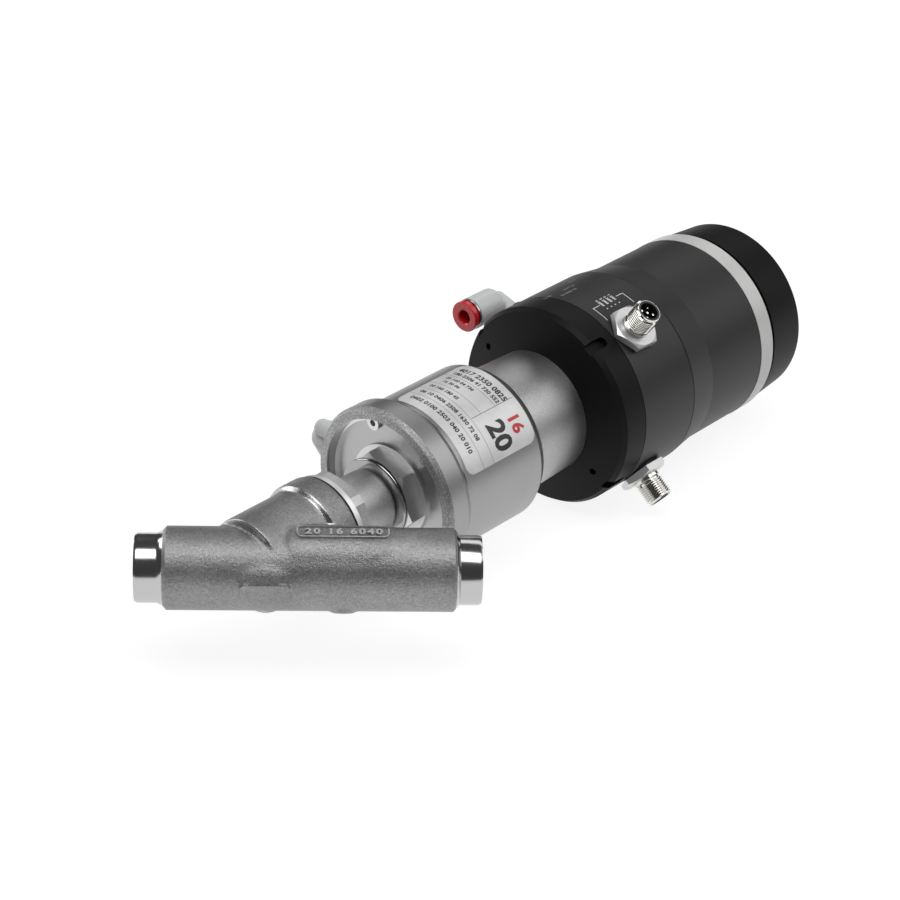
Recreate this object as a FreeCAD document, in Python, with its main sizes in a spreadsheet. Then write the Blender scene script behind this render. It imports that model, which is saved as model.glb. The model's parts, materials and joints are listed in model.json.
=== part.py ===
import FreeCAD, Part
import math
import os
import Sketcher

# Angle-seat control valve: a stainless Y-body, a spring-return piston actuator
# and a round positioner, all on one stem that leaves the pipe at an angle.
# The pipe runs along +X from the inlet weld end, +Z is up. Every piece on the
# stem is drawn upright, with its own Z axis as the stem, and is then laid over
# by its Placement. Millimetres and degrees.

os.makedirs("parts", exist_ok=True)
doc = FreeCAD.newDocument("control_valve")
sheet = doc.addObject("Spreadsheet::Sheet", "dims")

SIZES = {
    # cast body: run of the pipe
    "branch_place": 41.9,
    "stem_angle": 45,
    "face_to_face": 131.5,
    "stub_radius": 13.45,
    "stub_wall": 1.6,
    "stub_length": 8.3,
    "stub_bevel": 1.2,
    "stub_bevel_depth": 0.5,
    "shoulder_radius": 14.5,
    "inlet_cone": 2.2,
    "outlet_cone": 0.8,
    "run_radius": 16.05,
    "run_chamfer": 1.5,
    "inlet_depth": 31,
    "outlet_start": 52,
    # cast body: branch, seat and chamber
    "branch_start": 1.4,
    "branch_radius": 19.65,
    "branch_length": 29.2,
    "collar_radius": 21.5,
    "collar_cone": 1.8,
    "collar_length": 10.2,
    "edge_round": 0.5,
    "throat_floor": -11,
    "throat_radius": 9.7,
    "seat_place": 3,
    "seat_ring_thickness": 5,
    "seat_ring_radius": 12.4,
    "seat_bore": 9,
    "seat_lip_radius": 10.6,
    "seat_lip": 0.8,
    "chamber_radius": 15,
    "bonnet_thread_radius": 17.9,
    "bonnet_thread_length": 12,
    # cast body: pads on the outside
    "pad_start": 51,
    "pad_length": 60,
    "pad_height": 17.1,
    "pad_crown": 14.1,
    "pad_end": 8,
    "pad_end_drop": 6,
    "pad_tail": 20,
    "pad_tail_drop": 1.2,
    "plate_start": 60.7,
    "plate_length": 36.2,
    "plate_width": 8.8,
    "plate_depth": 0.7,
    "boss_place": 49.5,
    "boss_lift": 0.2,
    "boss_length": 19,
    "boss_width": 7.4,
    "boss_reach": 17.4,
    "boss_corner": 1.6,
    "swell_depth": 3,
    "swell_lift": 1.5,
    "swell_length": 28,
    "swell_height": 11.5,
    "swell_reach": 14.3,
    "mark_place": 79,
    "mark_turn": 150,
    "mark_radius": 4.5,
    "mark_reach": 16.8,
    # bonnet and packing
    "gasket_thickness": 0.5,
    "bonnet_flange_radius": 20.6,
    "bonnet_flange": 2.6,
    "bonnet_flats": 36.4,
    "bonnet_hex": 6.4,
    "bonnet_corner_turn": 9.4,
    "bonnet_corner_flat": 5.5,
    "barrel_radius": 13.7,
    "barrel_length": 18.8,
    "barrel_round": 2.6,
    "nose_radius": 10.9,
    "nose_length": 14,
    "guide_length": 4.5,
    "packing_radius": 7.5,
    "packing_spring_length": 10,
    "packing_wire": 1.2,
    "packing_rings_length": 12,
    "gland_bush_length": 18,
    # stem and plug
    "spindle_radius": 4,
    "stroke": 10,
    "plug_radius": 11.2,
    "plug_seal_thickness": 2.6,
    "plug_thickness": 5,
    "plug_hub_radius": 7,
    "plug_hub_length": 7,
    "cone_radius": 8.5,
    "cone_tip_radius": 3.2,
    "cone_length": 9.5,
    "cone_shank_radius": 5.6,
    # hub nut under the actuator
    "hub_nose_radius": 17.3,
    "hub_nose": 1.6,
    "hub_nose_round": 0.8,
    "hub_flats": 33,
    "hub_hex": 7.8,
    "hub_corner_turn": 11.3,
    "hub_flange_radius": 19.9,
    "hub_flange": 1.3,
    "hub_shank_radius": 12.9,
    "hub_shank": 6.8,
    "hub_web": 3,
    "rod_seal_radius": 6.4,
    "rod_seal_thickness": 2,
    # actuator
    "rim_radius": 36.8,
    "rim_face_radius": 35.5,
    "rim_bevel": 2,
    "rim_length": 10.3,
    "rim_slope": 3.6,
    "cylinder_bore": 32,
    "cylinder_radius": 34,
    "cylinder_length": 61.2,
    "tail_slope": 4,
    "tail_drop": 2.2,
    "end_wall": 5,
    "cover_recess": 4.7,
    "bottom_cover_thickness": 6,
    "circlip_thickness": 1.5,
    "circlip_radius": 33.4,
    "circlip_width": 3,
    "circlip_lug_radius": 3.1,
    "circlip_lug_place": 29,
    "circlip_hole": 1.4,
    "circlip_gap_middle": 100.5,
    "circlip_gap_half": 27,
    "ring_depth": 2.3,
    "ring_height": 2.8,
    "port_place": 94.8,
    "port_angle": -0.7,
    "port_boss_radius": 8.5,
    "port_boss_height": 2.8,
    "port_thread_radius": 4.8,
    "port_thread_depth": 3.8,
    "port_drill": 2.2,
    # piston
    "piston_lift": 11.5,
    "piston_hub_radius": 12,
    "piston_hub_drop": 7,
    "piston_disc": 4,
    "piston_skirt": 11.5,
    "piston_skirt_wall": 4.2,
    "piston_gap": 0.3,
    "piston_nut_flats": 13,
    "piston_nut_height": 5,
    "spring_radius": 20.5,
    "spring_wire": 3.6,
    "spring_turns": 4,
    "target_rod_radius": 3,
    "target_radius": 6,
    "target_length": 8,
    # neck between actuator and positioner
    "neck_radius": 27.9,
    "neck_end_radius": 27,
    "neck_wall": 3,
    "neck_length": 43.8,
    "neck_floor": 4.2,
    "neck_undercut": 0.8,
    "neck_undercut_width": 1.5,
    "bush_radius": 6,
    # positioner base flange
    "face_place": 169.5,
    "face_rise": 3.6,
    "face_drop": 1.5,
    "base_bevel": 2.4,
    "case_radius": 44.4,
    "base_length": 14.2,
    "socket_depth": 11.5,
    "sensor_bore": 12,
    "slot_width": 4.8,
    "slot_depth": 2.6,
    "slot_length": 10,
    "slot_turn": 31,
    "pin_hole_radius": 1.5,
    "pin_hole_margin": 9.1,
    "pin_hole_turn": 30,
    "pin_hole_depth": 6,
    # positioner case and cover
    "seam_gap": 0.4,
    "case_length": 32.3,
    "case_wall": 3.4,
    "case_floor": 3.2,
    "cover_length": 50.6,
    "cover_cone": 15.8,
    "cover_drop": 2.1,
    "cover_wall": 2.4,
    "spigot_length": 9,
    "spigot_wall": 2.6,
    "thread_gap": 0.3,
    "light_drop": 1.9,
    "light_length": 8.2,
    "cap_groove_drop": 3.4,
    "cap_groove": 2.4,
    "cap_drop": 2.7,
    "cap_end_drop": 4.5,
    "cap_length": 21.6,
    "cap_round": 1.6,
    "cap_wall": 2.4,
    "cover_pitch": 4,
    # round connectors with five pins
    "plug_place": 198.6,
    "plug_turn": 123,
    "plug_second_turn": 217,
    "plug_stand": 15,
    "plug_thread_radius": 6,
    "plug_body_radius": 5.4,
    "plug_relief": 0.4,
    "plug_bore": 4.35,
    "plug_root": 6,
    "plug_recess": 8.5,
    "plug_nut_flats": 19,
    "plug_nut_height": 3.2,
    "plug_nut_turn": 57,
    "plug_seal_radius": 8.2,
    "plug_seal_height": 1.2,
    "plug_seal_sink": 0.8,
    "pin_radius": 0.5,
    "pin_circle": 2.65,
    # push-in elbows
    "elbow_place": 208.6,
    "elbow_turn": 15.2,
    "elbow_height": 16.1,
    "leg_radius": 3.9,
    "stud_radius": 5.6,
    "stud_height": 5.5,
    "stud_washer": 1.3,
    "stud_washer_radius": 6.2,
    "stud_thread_length": 3.6,
    "barb_radius": 1.9,
    "socket_radius": 7.1,
    "socket_start": 2.2,
    "socket_length": 16,
    "socket_round": 3,
    "tube_radius": 3.1,
    "tube_insert": 14.5,
    "grip_radius": 5.3,
    "grip_depth": 9,
    "grip_cap": 1,
    "grip_cap_radius": 6.8,
    "collet_travel": 1,
    "collet_flange": 2.4,
    "collet_flange_radius": 7,
    "collet_sleeve": 7,
    "actuator_elbow_swivel": 241,
    # pieces inside the positioner
    "board_thickness": 1.6,
    "board_margin": 1.4,
    "manifold_radius": 26,
    "manifold_height": 10,
    "coil_radius": 7,
    "coil_height": 15,
    "coil_place": 16,
    # plain clearances
    "fit_gap": 0.1,
    "turn_gap": 0.05,
    "seat_gap": 0.1,
}
for row, (alias, number) in enumerate(SIZES.items(), start=1):
    sheet.set(f"A{row}", alias)
    sheet.set(f"B{row}", str(number))
    sheet.setAlias(f"B{row}", alias)
doc.recompute()


class Size:
    """A number of the sheet, or a sum of such numbers, with its expression."""

    def __init__(self, text, value):
        self.text = text
        self.value = value

    def __add__(self, other):
        other = as_size(other)
        return Size(f"({self.text} + {other.text})", self.value + other.value)

    def __sub__(self, other):
        other = as_size(other)
        return Size(f"({self.text} - {other.text})", self.value - other.value)

    def __mul__(self, other):
        other = as_size(other)
        return Size(f"({self.text} * {other.text})", self.value * other.value)

    def __truediv__(self, other):
        other = as_size(other)
        return Size(f"({self.text} / {other.text})", self.value / other.value)

    def __neg__(self):
        return Size(f"(0 - {self.text})", -self.value)

    def __radd__(self, other):
        return as_size(other) + self

    def __rsub__(self, other):
        return as_size(other) - self

    def __rmul__(self, other):
        return as_size(other) * self


def as_size(value):
    """Wrap a plain number as a Size."""
    return value if isinstance(value, Size) else Size(repr(value), value)


def cosine(angle):
    angle = as_size(angle)
    return Size(f"cos({angle.text})", math.cos(math.radians(angle.value)))


def sine(angle):
    angle = as_size(angle)
    return Size(f"sin({angle.text})", math.sin(math.radians(angle.value)))


class Dims:
    """Every cell of the sheet as an attribute."""


d = Dims()
for alias, number in SIZES.items():
    setattr(d, alias, Size(f"dims.{alias}", number))

# Places along the stem, measured from the axis of the pipe.
seat = d.seat_place
collar_end = d.branch_length + d.collar_cone + d.collar_length
bonnet_face = collar_end + d.gasket_thickness
bonnet_hex_start = bonnet_face + d.bonnet_flange
barrel_start = bonnet_hex_start + d.bonnet_hex
barrel_end = barrel_start + d.barrel_length
nose_end = barrel_end + d.nose_length
packing_floor = collar_end - d.bonnet_thread_length + d.guide_length
hub_hex_start = barrel_end + d.hub_nose
hub_flange_start = hub_hex_start + d.hub_hex
cover_face = hub_flange_start + d.hub_flange
hub_top = cover_face + d.hub_shank + d.hub_web
cover_top = cover_face + d.bottom_cover_thickness
rim_face = cover_face - d.cover_recess
rim_end = rim_face + d.rim_length
housing_end = rim_face + d.cylinder_length
housing_floor = housing_end - d.end_wall
piston_low = cover_top + d.piston_lift
piston_seat = piston_low + d.piston_disc
piston_top = piston_low + d.piston_skirt
spindle_end = piston_seat + d.piston_nut_height + 0.5
neck_end = housing_end + d.neck_length
flange_rim = d.face_place + d.face_rise
base_end = flange_rim + d.base_length
case_start = base_end + d.seam_gap
case_end = case_start + d.case_length
cover_start = case_end + d.seam_gap
cover_end = cover_start + d.cover_length
light_end = cover_end + d.light_length
cap_start = light_end + d.cap_groove
cap_end = cap_start + d.cap_length

# Radii that follow the cylinder and the positioner case.
port_boss_reach = d.cylinder_radius + d.port_boss_height
face_radius = d.case_radius - d.face_drop
pin_hole_circle = d.case_radius - d.pin_hole_margin
case_bore = d.case_radius - d.case_wall
cover_radius = d.case_radius - d.cover_drop
cover_bore = cover_radius - d.cover_wall
light_radius = d.case_radius - d.light_drop
cap_groove_radius = d.case_radius - d.cap_groove_drop
cap_radius = d.case_radius - d.cap_drop
cap_end_radius = d.case_radius - d.cap_end_drop
plug_reach = d.case_radius + d.plug_stand

STEM = (
    "placement(vector(dims.branch_place; 0; 0); "
    "rotation(vector(0; 0; 1); dims.stem_angle) * rotation(vector(1; 1; 1); 120))"
)


def radial_place(station, angle):
    """Placement of a piece that stands out from the stem, its Z axis radial."""
    station = as_size(station)
    angle = as_size(angle)
    return (
        f"{STEM} * placement(vector(0; 0; {station.text}); "
        f"rotation(vector(0; 0; 1); {angle.text}) * rotation(vector(0; 1; 0); 90))"
    )


def new_body(label, place=STEM):
    """A PartDesign body with its name and its place in the valve."""
    body = doc.addObject("PartDesign::Body", label)
    body.Label = label
    if place:
        body.setExpression("Placement", place)
    return body


def origin_plane(body, role):
    """One of the body's own origin planes, found by its role."""
    return [item for item in body.Origin.OriginFeatures if item.Role == role][0]


def new_sketch(body, role, offset=None):
    """A sketch on one of the body's own origin planes."""
    plane = origin_plane(body, role)
    sketch = body.newObject("Sketcher::SketchObject", body.Name + "_sketch")
    sketch.AttachmentSupport = (plane, [""])
    sketch.MapMode = "FlatFace"
    if offset:
        sketch.setExpression("AttachmentOffset", offset)
    return sketch


def lift(station):
    """Attachment offset that raises a sketch along its own normal."""
    return f"placement(vector(0; 0; {as_size(station).text}); rotation(vector(0; 0; 1); 0))"


def outward(station, angle):
    """Attachment offset that turns a flat sketch to face out from the stem."""
    return (
        f"placement(vector(0; 0; {as_size(station).text}); "
        f"rotation(vector(0; 0; 1); {as_size(angle).text}) * rotation(vector(0; 1; 0); 90))"
    )


def pin_point(sketch, line, x, y):
    """Hold the start of a line at a place that follows the sheet."""
    for kind, axis, value in (("DistanceX", -2, as_size(x)), ("DistanceY", -1, as_size(y))):
        if value.value == 0:
            sketch.addConstraint(Sketcher.Constraint("PointOnObject", line, 1, axis))
        else:
            index = sketch.addConstraint(Sketcher.Constraint(kind, -1, 1, line, 1, value.value))
            sketch.setExpression(f"Constraints[{index}]", value.text)


def draw_polygon(sketch, points):
    """A closed outline of straight lines through points given as sizes."""
    places = [FreeCAD.Vector(as_size(x).value, as_size(y).value, 0) for x, y in points]
    first = sketch.GeometryCount
    count = len(places)
    lines = [Part.LineSegment(places[i], places[(i + 1) % count]) for i in range(count)]
    sketch.addGeometry(lines, False)
    for i in range(count):
        following = first + (i + 1) % count
        sketch.addConstraint(Sketcher.Constraint("Coincident", first + i, 2, following, 1))
    for i, (x, y) in enumerate(points):
        pin_point(sketch, first + i, x, y)


def draw_circle(sketch, x, y, radius):
    """A circle whose centre and radius follow the sheet."""
    centre = FreeCAD.Vector(as_size(x).value, as_size(y).value, 0)
    index = sketch.addGeometry(Part.Circle(centre, FreeCAD.Vector(0, 0, 1), radius.value), False)
    for kind, axis, value in (("DistanceX", -2, as_size(x)), ("DistanceY", -1, as_size(y))):
        if value.value == 0:
            sketch.addConstraint(Sketcher.Constraint("PointOnObject", index, 3, axis))
        else:
            held = sketch.addConstraint(Sketcher.Constraint(kind, -1, 1, index, 3, value.value))
            sketch.setExpression(f"Constraints[{held}]", value.text)
    held = sketch.addConstraint(Sketcher.Constraint("Radius", index, radius.value))
    sketch.setExpression(f"Constraints[{held}]", radius.text)


def blunt_hexagon_points(flats, turn, half_flat):
    """A hexagon whose corners end in narrow flats of a given half angle."""
    corner = flats / 2 / cosine(30 - half_flat)
    turns = [turn + 60 * i + side * half_flat for i in range(6) for side in (-1, 1)]
    return [(corner * cosine(angle), corner * sine(angle)) for angle in turns]


def hexagon_points(flats, turn):
    """Corners of a hexagon of a given width across flats."""
    corner = flats / Size("sqrt(3)", math.sqrt(3))
    return [(corner * cosine(turn + 60 * i), corner * sine(turn + 60 * i)) for i in range(6)]


def spin(body, points, role="XZ_Plane", axis="V_Axis", offset=None, cut=False):
    """Turn an outline about an axis of its sketch, as metal or as a cut."""
    sketch = new_sketch(body, role, offset)
    draw_polygon(sketch, points)
    kind = "PartDesign::Groove" if cut else "PartDesign::Revolution"
    feature = body.newObject(kind, body.Name + "_turn")
    feature.Profile = sketch
    feature.ReferenceAxis = (sketch, [axis])
    feature.Angle = 360
    sketch.Visibility = False
    doc.recompute()
    return feature


def pad(body, sketch, length, reverse=False):
    """Raise a sketch by a length of the sheet."""
    feature = body.newObject("PartDesign::Pad", body.Name + "_pad")
    feature.Profile = sketch
    feature.setExpression("Length", as_size(length).text)
    feature.Reversed = reverse
    doc.recompute()
    return feature


def pocket(body, sketch, length, reverse=False):
    """Sink a sketch by a length of the sheet, and make sure that it cuts."""
    before = body.Shape.Volume
    feature = body.newObject("PartDesign::Pocket", body.Name + "_pocket")
    feature.Profile = sketch
    feature.setExpression("Length", as_size(length).text)
    feature.Reversed = reverse
    doc.recompute()
    if body.Shape.Volume >= before:
        raise ValueError(f"{body.Label}: a pocket cuts nothing")
    return feature


def ring_edges(shape, radius, height):
    """Names of the round edges of one radius at one height on the Z axis."""
    names = []
    for number, edge in enumerate(shape.Edges, start=1):
        curve = edge.Curve
        if not isinstance(curve, Part.Circle):
            continue
        if abs(curve.Radius - radius.value) < 1e-4 and abs(curve.Center.z - height.value) < 1e-4:
            names.append(f"Edge{number}")
    return names


def soften(body, size, edges, kind="Fillet"):
    """Round or bevel named edges of the body's last feature."""
    base = body.Tip
    feature = body.newObject(f"PartDesign::{kind}", body.Name + "_edge")
    feature.Base = (base, edges)
    feature.setExpression("Radius" if kind == "Fillet" else "Size", as_size(size).text)
    doc.recompute()
    return feature


def soften_ring(body, size, radius, height, kind="Fillet"):
    """Round or bevel the round edges found at one radius and height."""
    base = body.Tip
    edges = ring_edges(base.Shape, as_size(radius), as_size(height))
    if not edges:
        raise ValueError(f"{body.Label}: no edge at radius {radius.value}")
    feature = body.newObject(f"PartDesign::{kind}", body.Name + "_edge")
    feature.Base = (base, edges)
    feature.setExpression("Radius" if kind == "Fillet" else "Size", as_size(size).text)
    doc.recompute()
    return feature


def turned(label, points, place=STEM):
    """A turned piece from its half outline of radius and height."""
    body = new_body(label, place)
    spin(body, points)
    return body


def tube(label, inner, outer, low, high, place=STEM):
    """A plain ring between two radii and two heights."""
    return turned(label, [(inner, low), (outer, low), (outer, high), (inner, high)], place)


def radial_hole(body, station, angle, radius, length, start=0):
    """A round hole that leaves the stem axis square to it."""
    sketch = new_sketch(body, "XY_Plane", outward(station, angle))
    draw_circle(sketch, 0, 0, radius)
    return pocket(body, sketch, length, reverse=True)


# Cast body

ALONG_STEM = (
    "placement(vector(dims.branch_place; 0; 0); rotation(vector(0; 0; 1); dims.stem_angle))"
)


def slot_outline(sketch, start, length, width):
    """A slot with round ends along the X axis of the sketch."""
    half = width / 2
    left = start + half
    right = start + length - half
    v = FreeCAD.Vector
    sketch.addGeometry([
        Part.LineSegment(v(left.value, half.value, 0), v(right.value, half.value, 0)),
        Part.LineSegment(v(right.value, -half.value, 0), v(left.value, -half.value, 0)),
        Part.ArcOfCircle(Part.Circle(v(right.value, 0, 0), v(0, 0, 1), half.value), -math.pi / 2, math.pi / 2),
        Part.ArcOfCircle(Part.Circle(v(left.value, 0, 0), v(0, 0, 1), half.value), math.pi / 2, 3 * math.pi / 2),
    ], False)
    sketch.addConstraint([
        Sketcher.Constraint("Tangent", 0, 2, 2, 2),
        Sketcher.Constraint("Tangent", 2, 1, 1, 1),
        Sketcher.Constraint("Tangent", 1, 2, 3, 2),
        Sketcher.Constraint("Tangent", 3, 1, 0, 1),
        Sketcher.Constraint("PointOnObject", 2, 3, -1),
        Sketcher.Constraint("PointOnObject", 3, 3, -1),
    ])
    for arc, place in ((2, right), (3, left)):
        held = sketch.addConstraint(Sketcher.Constraint("DistanceX", -1, 1, arc, 3, place.value))
        sketch.setExpression(f"Constraints[{held}]", place.text)
    held = sketch.addConstraint(Sketcher.Constraint("Radius", 2, half.value))
    sketch.setExpression(f"Constraints[{held}]", half.text)


def box_points(centre_x, centre_y, length, width):
    """Corners of a rectangle round a centre."""
    left = centre_x - length / 2
    right = centre_x + length / 2
    low = centre_y - width / 2
    high = centre_y + width / 2
    return [(left, low), (right, low), (right, high), (left, high)]


def make_valve_body():
    """Y-body: run with weld stubs, branch with collar, seat throat and bores."""
    body = new_body("valve_body", None)
    end = d.face_to_face
    stub_lip = d.stub_radius - d.stub_bevel_depth
    inlet_shoulder = d.stub_length + d.inlet_cone
    outlet_shoulder = end - d.stub_length - d.outlet_cone
    spin(body, [
        (0, 0),
        (0, stub_lip),
        (d.stub_bevel, d.stub_radius),
        (d.stub_length, d.stub_radius),
        (inlet_shoulder, d.shoulder_radius),
        (inlet_shoulder + d.run_chamfer, d.run_radius),
        (outlet_shoulder - d.run_chamfer, d.run_radius),
        (outlet_shoulder, d.shoulder_radius),
        (end - d.stub_length, d.stub_radius),
        (end - d.stub_bevel, d.stub_radius),
        (end, stub_lip),
        (end, 0),
    ], role="XY_Plane", axis="H_Axis")
    add_crown(body)
    add_front_boss(body)
    start = d.branch_start
    spin(body, [
        (start, 0),
        (start, d.branch_radius - d.edge_round),
        (start + d.edge_round, d.branch_radius),
        (d.branch_length, d.branch_radius),
        (d.branch_length + d.collar_cone, d.collar_radius),
        (collar_end - d.edge_round, d.collar_radius),
        (collar_end, d.collar_radius - d.edge_round),
        (collar_end, 0),
    ], role="XY_Plane", axis="H_Axis", offset=ALONG_STEM)
    sketch = new_sketch(body, "XY_Plane", lift(d.pad_height))
    slot_outline(sketch, d.plate_start, d.plate_length, d.plate_width)
    pocket(body, sketch, d.plate_depth)
    bore = d.stub_radius - d.stub_wall
    sketch = new_sketch(body, "YZ_Plane")
    draw_circle(sketch, 0, 0, bore)
    pocket(body, sketch, d.inlet_depth, reverse=True)
    sketch = new_sketch(body, "YZ_Plane", lift(end))
    draw_circle(sketch, 0, 0, bore)
    pocket(body, sketch, end - d.outlet_start)
    ring_bore = d.seat_ring_radius + d.fit_gap
    ring_floor = seat - d.seat_ring_thickness
    thread_floor = collar_end - d.bonnet_thread_length - 0.3
    spin(body, [
        (d.throat_floor, 0),
        (d.throat_floor, d.throat_radius),
        (ring_floor, d.throat_radius),
        (ring_floor, ring_bore),
        (seat - d.seat_lip, ring_bore),
        (seat - d.seat_lip, d.chamber_radius),
        (thread_floor, d.chamber_radius),
        (thread_floor, d.bonnet_thread_radius),
        (collar_end, d.bonnet_thread_radius),
        (collar_end, d.collar_radius),
        (bonnet_hex_start + 1, d.collar_radius),
        (bonnet_hex_start + 1, 0),
    ], role="XY_Plane", axis="H_Axis", offset=ALONG_STEM, cut=True)
    return body


def add_crown(body):
    """A soft ridge along the top of the run that carries the sunk plate."""
    low = d.pad_start
    high = d.pad_start + d.pad_length
    centre = d.pad_height - d.pad_crown
    spin(body, [
        (low, 0), (low, d.pad_crown - d.pad_end_drop),
        (low + d.pad_end * 0.3, d.pad_crown - d.pad_end_drop * 0.4), (low + d.pad_end, d.pad_crown),
        (high - d.pad_tail, d.pad_crown), (high, d.pad_crown - d.pad_tail_drop), (high, 0),
    ], role="XZ_Plane", axis="H_Axis",
        offset=f"placement(vector(0; {centre.text}; 0); rotation(vector(0; 0; 1); 0))")


def add_front_boss(body):
    """A swell on the front of the run with a flat facet, and a round mark below."""
    swell = body.newObject("PartDesign::AdditiveEllipsoid", "valve_body_swell")
    swell.setExpression("Radius1", d.swell_height.text)
    swell.setExpression("Radius2", d.swell_length.text)
    swell.setExpression("Radius3", d.swell_reach.text)
    swell.AttachmentSupport = [(origin_plane(body, "XY_Plane"), "")]
    swell.MapMode = "FlatFace"
    swell.setExpression("AttachmentOffset", (
        f"placement(vector({d.boss_place.text}; {(-d.swell_depth).text}; {d.swell_lift.text}); "
        "rotation(vector(0; 0; 1); 0))"
    ))
    doc.recompute()
    sketch = new_sketch(body, "XZ_Plane")
    draw_polygon(sketch, box_points(d.boss_place, d.boss_lift, d.boss_length, d.boss_width))
    pad(body, sketch, d.boss_reach)
    soften(body, d.boss_corner, long_edges(body, "y", -d.boss_reach))
    sketch = new_sketch(body, "XY_Plane", (
        f"placement(vector({d.mark_place.text}; 0; 0); rotation(vector(1; 0; 0); {d.mark_turn.text}))"
    ))
    draw_circle(sketch, 0, 0, d.mark_radius)
    pad(body, sketch, d.mark_reach)


def long_edges(body, axis, outer):
    """Straight edges along one axis that end on the outer face of a pad."""
    names = []
    for number, edge in enumerate(body.Shape.Edges, start=1):
        if not isinstance(edge.Curve, Part.Line):
            continue
        direction = getattr(edge.Curve.Direction, axis)
        tips = [getattr(vertex.Point, axis) for vertex in edge.Vertexes]
        if abs(abs(direction) - 1) < 1e-6 and min(abs(tip - outer.value) for tip in tips) < 1e-4:
            names.append(f"Edge{number}")
    return names


def make_trim():
    """Seat ring, control plug, its seal, its contoured cone and the spindle."""
    low = seat - d.seat_ring_thickness
    shoulder = seat - d.seat_lip
    turned("seat_ring", [
        (d.seat_bore, low), (d.seat_ring_radius, low), (d.seat_ring_radius, shoulder),
        (d.seat_lip_radius, shoulder), (d.seat_lip_radius - 0.4, seat), (d.seat_bore, seat),
    ])
    sealing = seat + d.seat_gap
    seal_top = sealing + d.plug_seal_thickness
    shank = d.cone_shank_radius
    tube("plug_seal", shank + d.fit_gap, d.plug_radius, sealing, seal_top)
    plug_top = seal_top + d.plug_thickness
    hub_top_place = plug_top + d.plug_hub_length
    turned("control_plug", [
        (shank + d.fit_gap, seal_top), (d.plug_radius + 0.4, seal_top),
        (d.plug_radius + 0.4, plug_top - 1.5), (d.plug_radius - 1.1, plug_top),
        (d.plug_hub_radius, plug_top), (d.plug_hub_radius, hub_top_place),
        (d.spindle_radius + d.turn_gap, hub_top_place),
        (d.spindle_radius + d.turn_gap, plug_top), (shank + d.fit_gap, plug_top),
    ])
    cone_tip = sealing - d.cone_length
    body = turned("control_cone", [
        (0, cone_tip), (d.cone_tip_radius, cone_tip),
        (d.cone_radius - 1.2, sealing - d.cone_length * 0.45),
        (d.cone_radius - 0.35, sealing - d.cone_length * 0.2),
        (d.cone_radius, sealing - 1), (d.cone_radius, sealing), (shank, sealing),
        (shank, plug_top), (0, plug_top),
    ])
    soften_ring(body, 1, d.cone_tip_radius, cone_tip)
    body = turned("spindle", [
        (0, plug_top), (d.spindle_radius, plug_top), (d.spindle_radius, spindle_end - 1),
        (d.spindle_radius - 1, spindle_end), (0, spindle_end),
    ])


def coil(label, radius, wire, low, high, turns):
    """A compression spring: a round wire lofted through sections along a helix."""
    steps = 12 * round(turns.value)
    first = low.value + wire.value / 2
    rise = (high.value - low.value - wire.value) / steps
    sections = []
    for step in range(steps + 1):
        turn = FreeCAD.Rotation(FreeCAD.Vector(0, 0, 1), 30 * step)
        corners = []
        for side in range(8):
            angle = math.radians(45 * side)
            across = radius.value + wire.value / 2 * math.cos(angle)
            height = first + rise * step + wire.value / 2 * math.sin(angle)
            corners.append(turn.multVec(FreeCAD.Vector(across, 0, height)))
        sections.append(Part.makePolygon(corners + corners[:1]))
    feature = doc.addObject("Part::Feature", label)
    feature.Label = label
    feature.Shape = Part.makeLoft(sections, True, True)
    feature.setExpression("Placement", STEM)
    return feature


def make_bonnet():
    """Bonnet with gasket, packing, packing spring, gland bush and rod seal."""
    tube("bonnet_gasket", d.bonnet_thread_radius, d.collar_radius - d.edge_round, collar_end, bonnet_face)
    low = collar_end - d.bonnet_thread_length
    guide = d.spindle_radius + d.turn_gap
    body = turned("bonnet", [
        (guide, low), (d.bonnet_thread_radius - d.fit_gap, low),
        (d.bonnet_thread_radius - d.fit_gap, bonnet_face), (d.bonnet_flange_radius, bonnet_face),
        (d.bonnet_flange_radius, bonnet_hex_start), (d.barrel_radius, bonnet_hex_start),
        (d.barrel_radius, barrel_end), (d.nose_radius, barrel_end), (d.nose_radius, nose_end),
        (d.packing_radius, nose_end), (d.packing_radius, packing_floor), (guide, packing_floor),
    ])
    soften_ring(body, d.barrel_round, d.barrel_radius, barrel_end)
    add_ring_hexagon(body, d.bonnet_flats, d.bonnet_corner_turn, bonnet_hex_start, d.bonnet_hex)
    spring_top = packing_floor + d.packing_spring_length
    rings_top = spring_top + d.packing_rings_length
    bush_top = rings_top + d.gland_bush_length
    coil("packing_spring", (d.packing_radius + d.spindle_radius) / 2, d.packing_wire,
         packing_floor, spring_top, as_size(3))
    make_packing_rings(spring_top, rings_top)
    outer = d.packing_radius - d.turn_gap
    tube("gland_bush", d.spindle_radius + d.turn_gap, outer, rings_top, bush_top)
    tube("wiper_ring", d.spindle_radius + d.turn_gap, outer, bush_top, bush_top + 2.4)


def make_packing_rings(low, high):
    """Three chevron rings stacked round the spindle."""
    body = new_body("packing_rings")
    inner = d.spindle_radius + d.turn_gap
    outer = d.packing_radius - d.turn_gap
    middle = (inner + outer) / 2
    step = (high - low) / 3
    rise = step * 0.35
    for i in range(3):
        base = low + step * i
        top = base + step
        crest = [(middle, top + rise)] if i < 2 else []
        spin(body, [
            (inner, base), (middle, base + rise), (outer, base), (outer, top), *crest, (inner, top),
        ])


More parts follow.
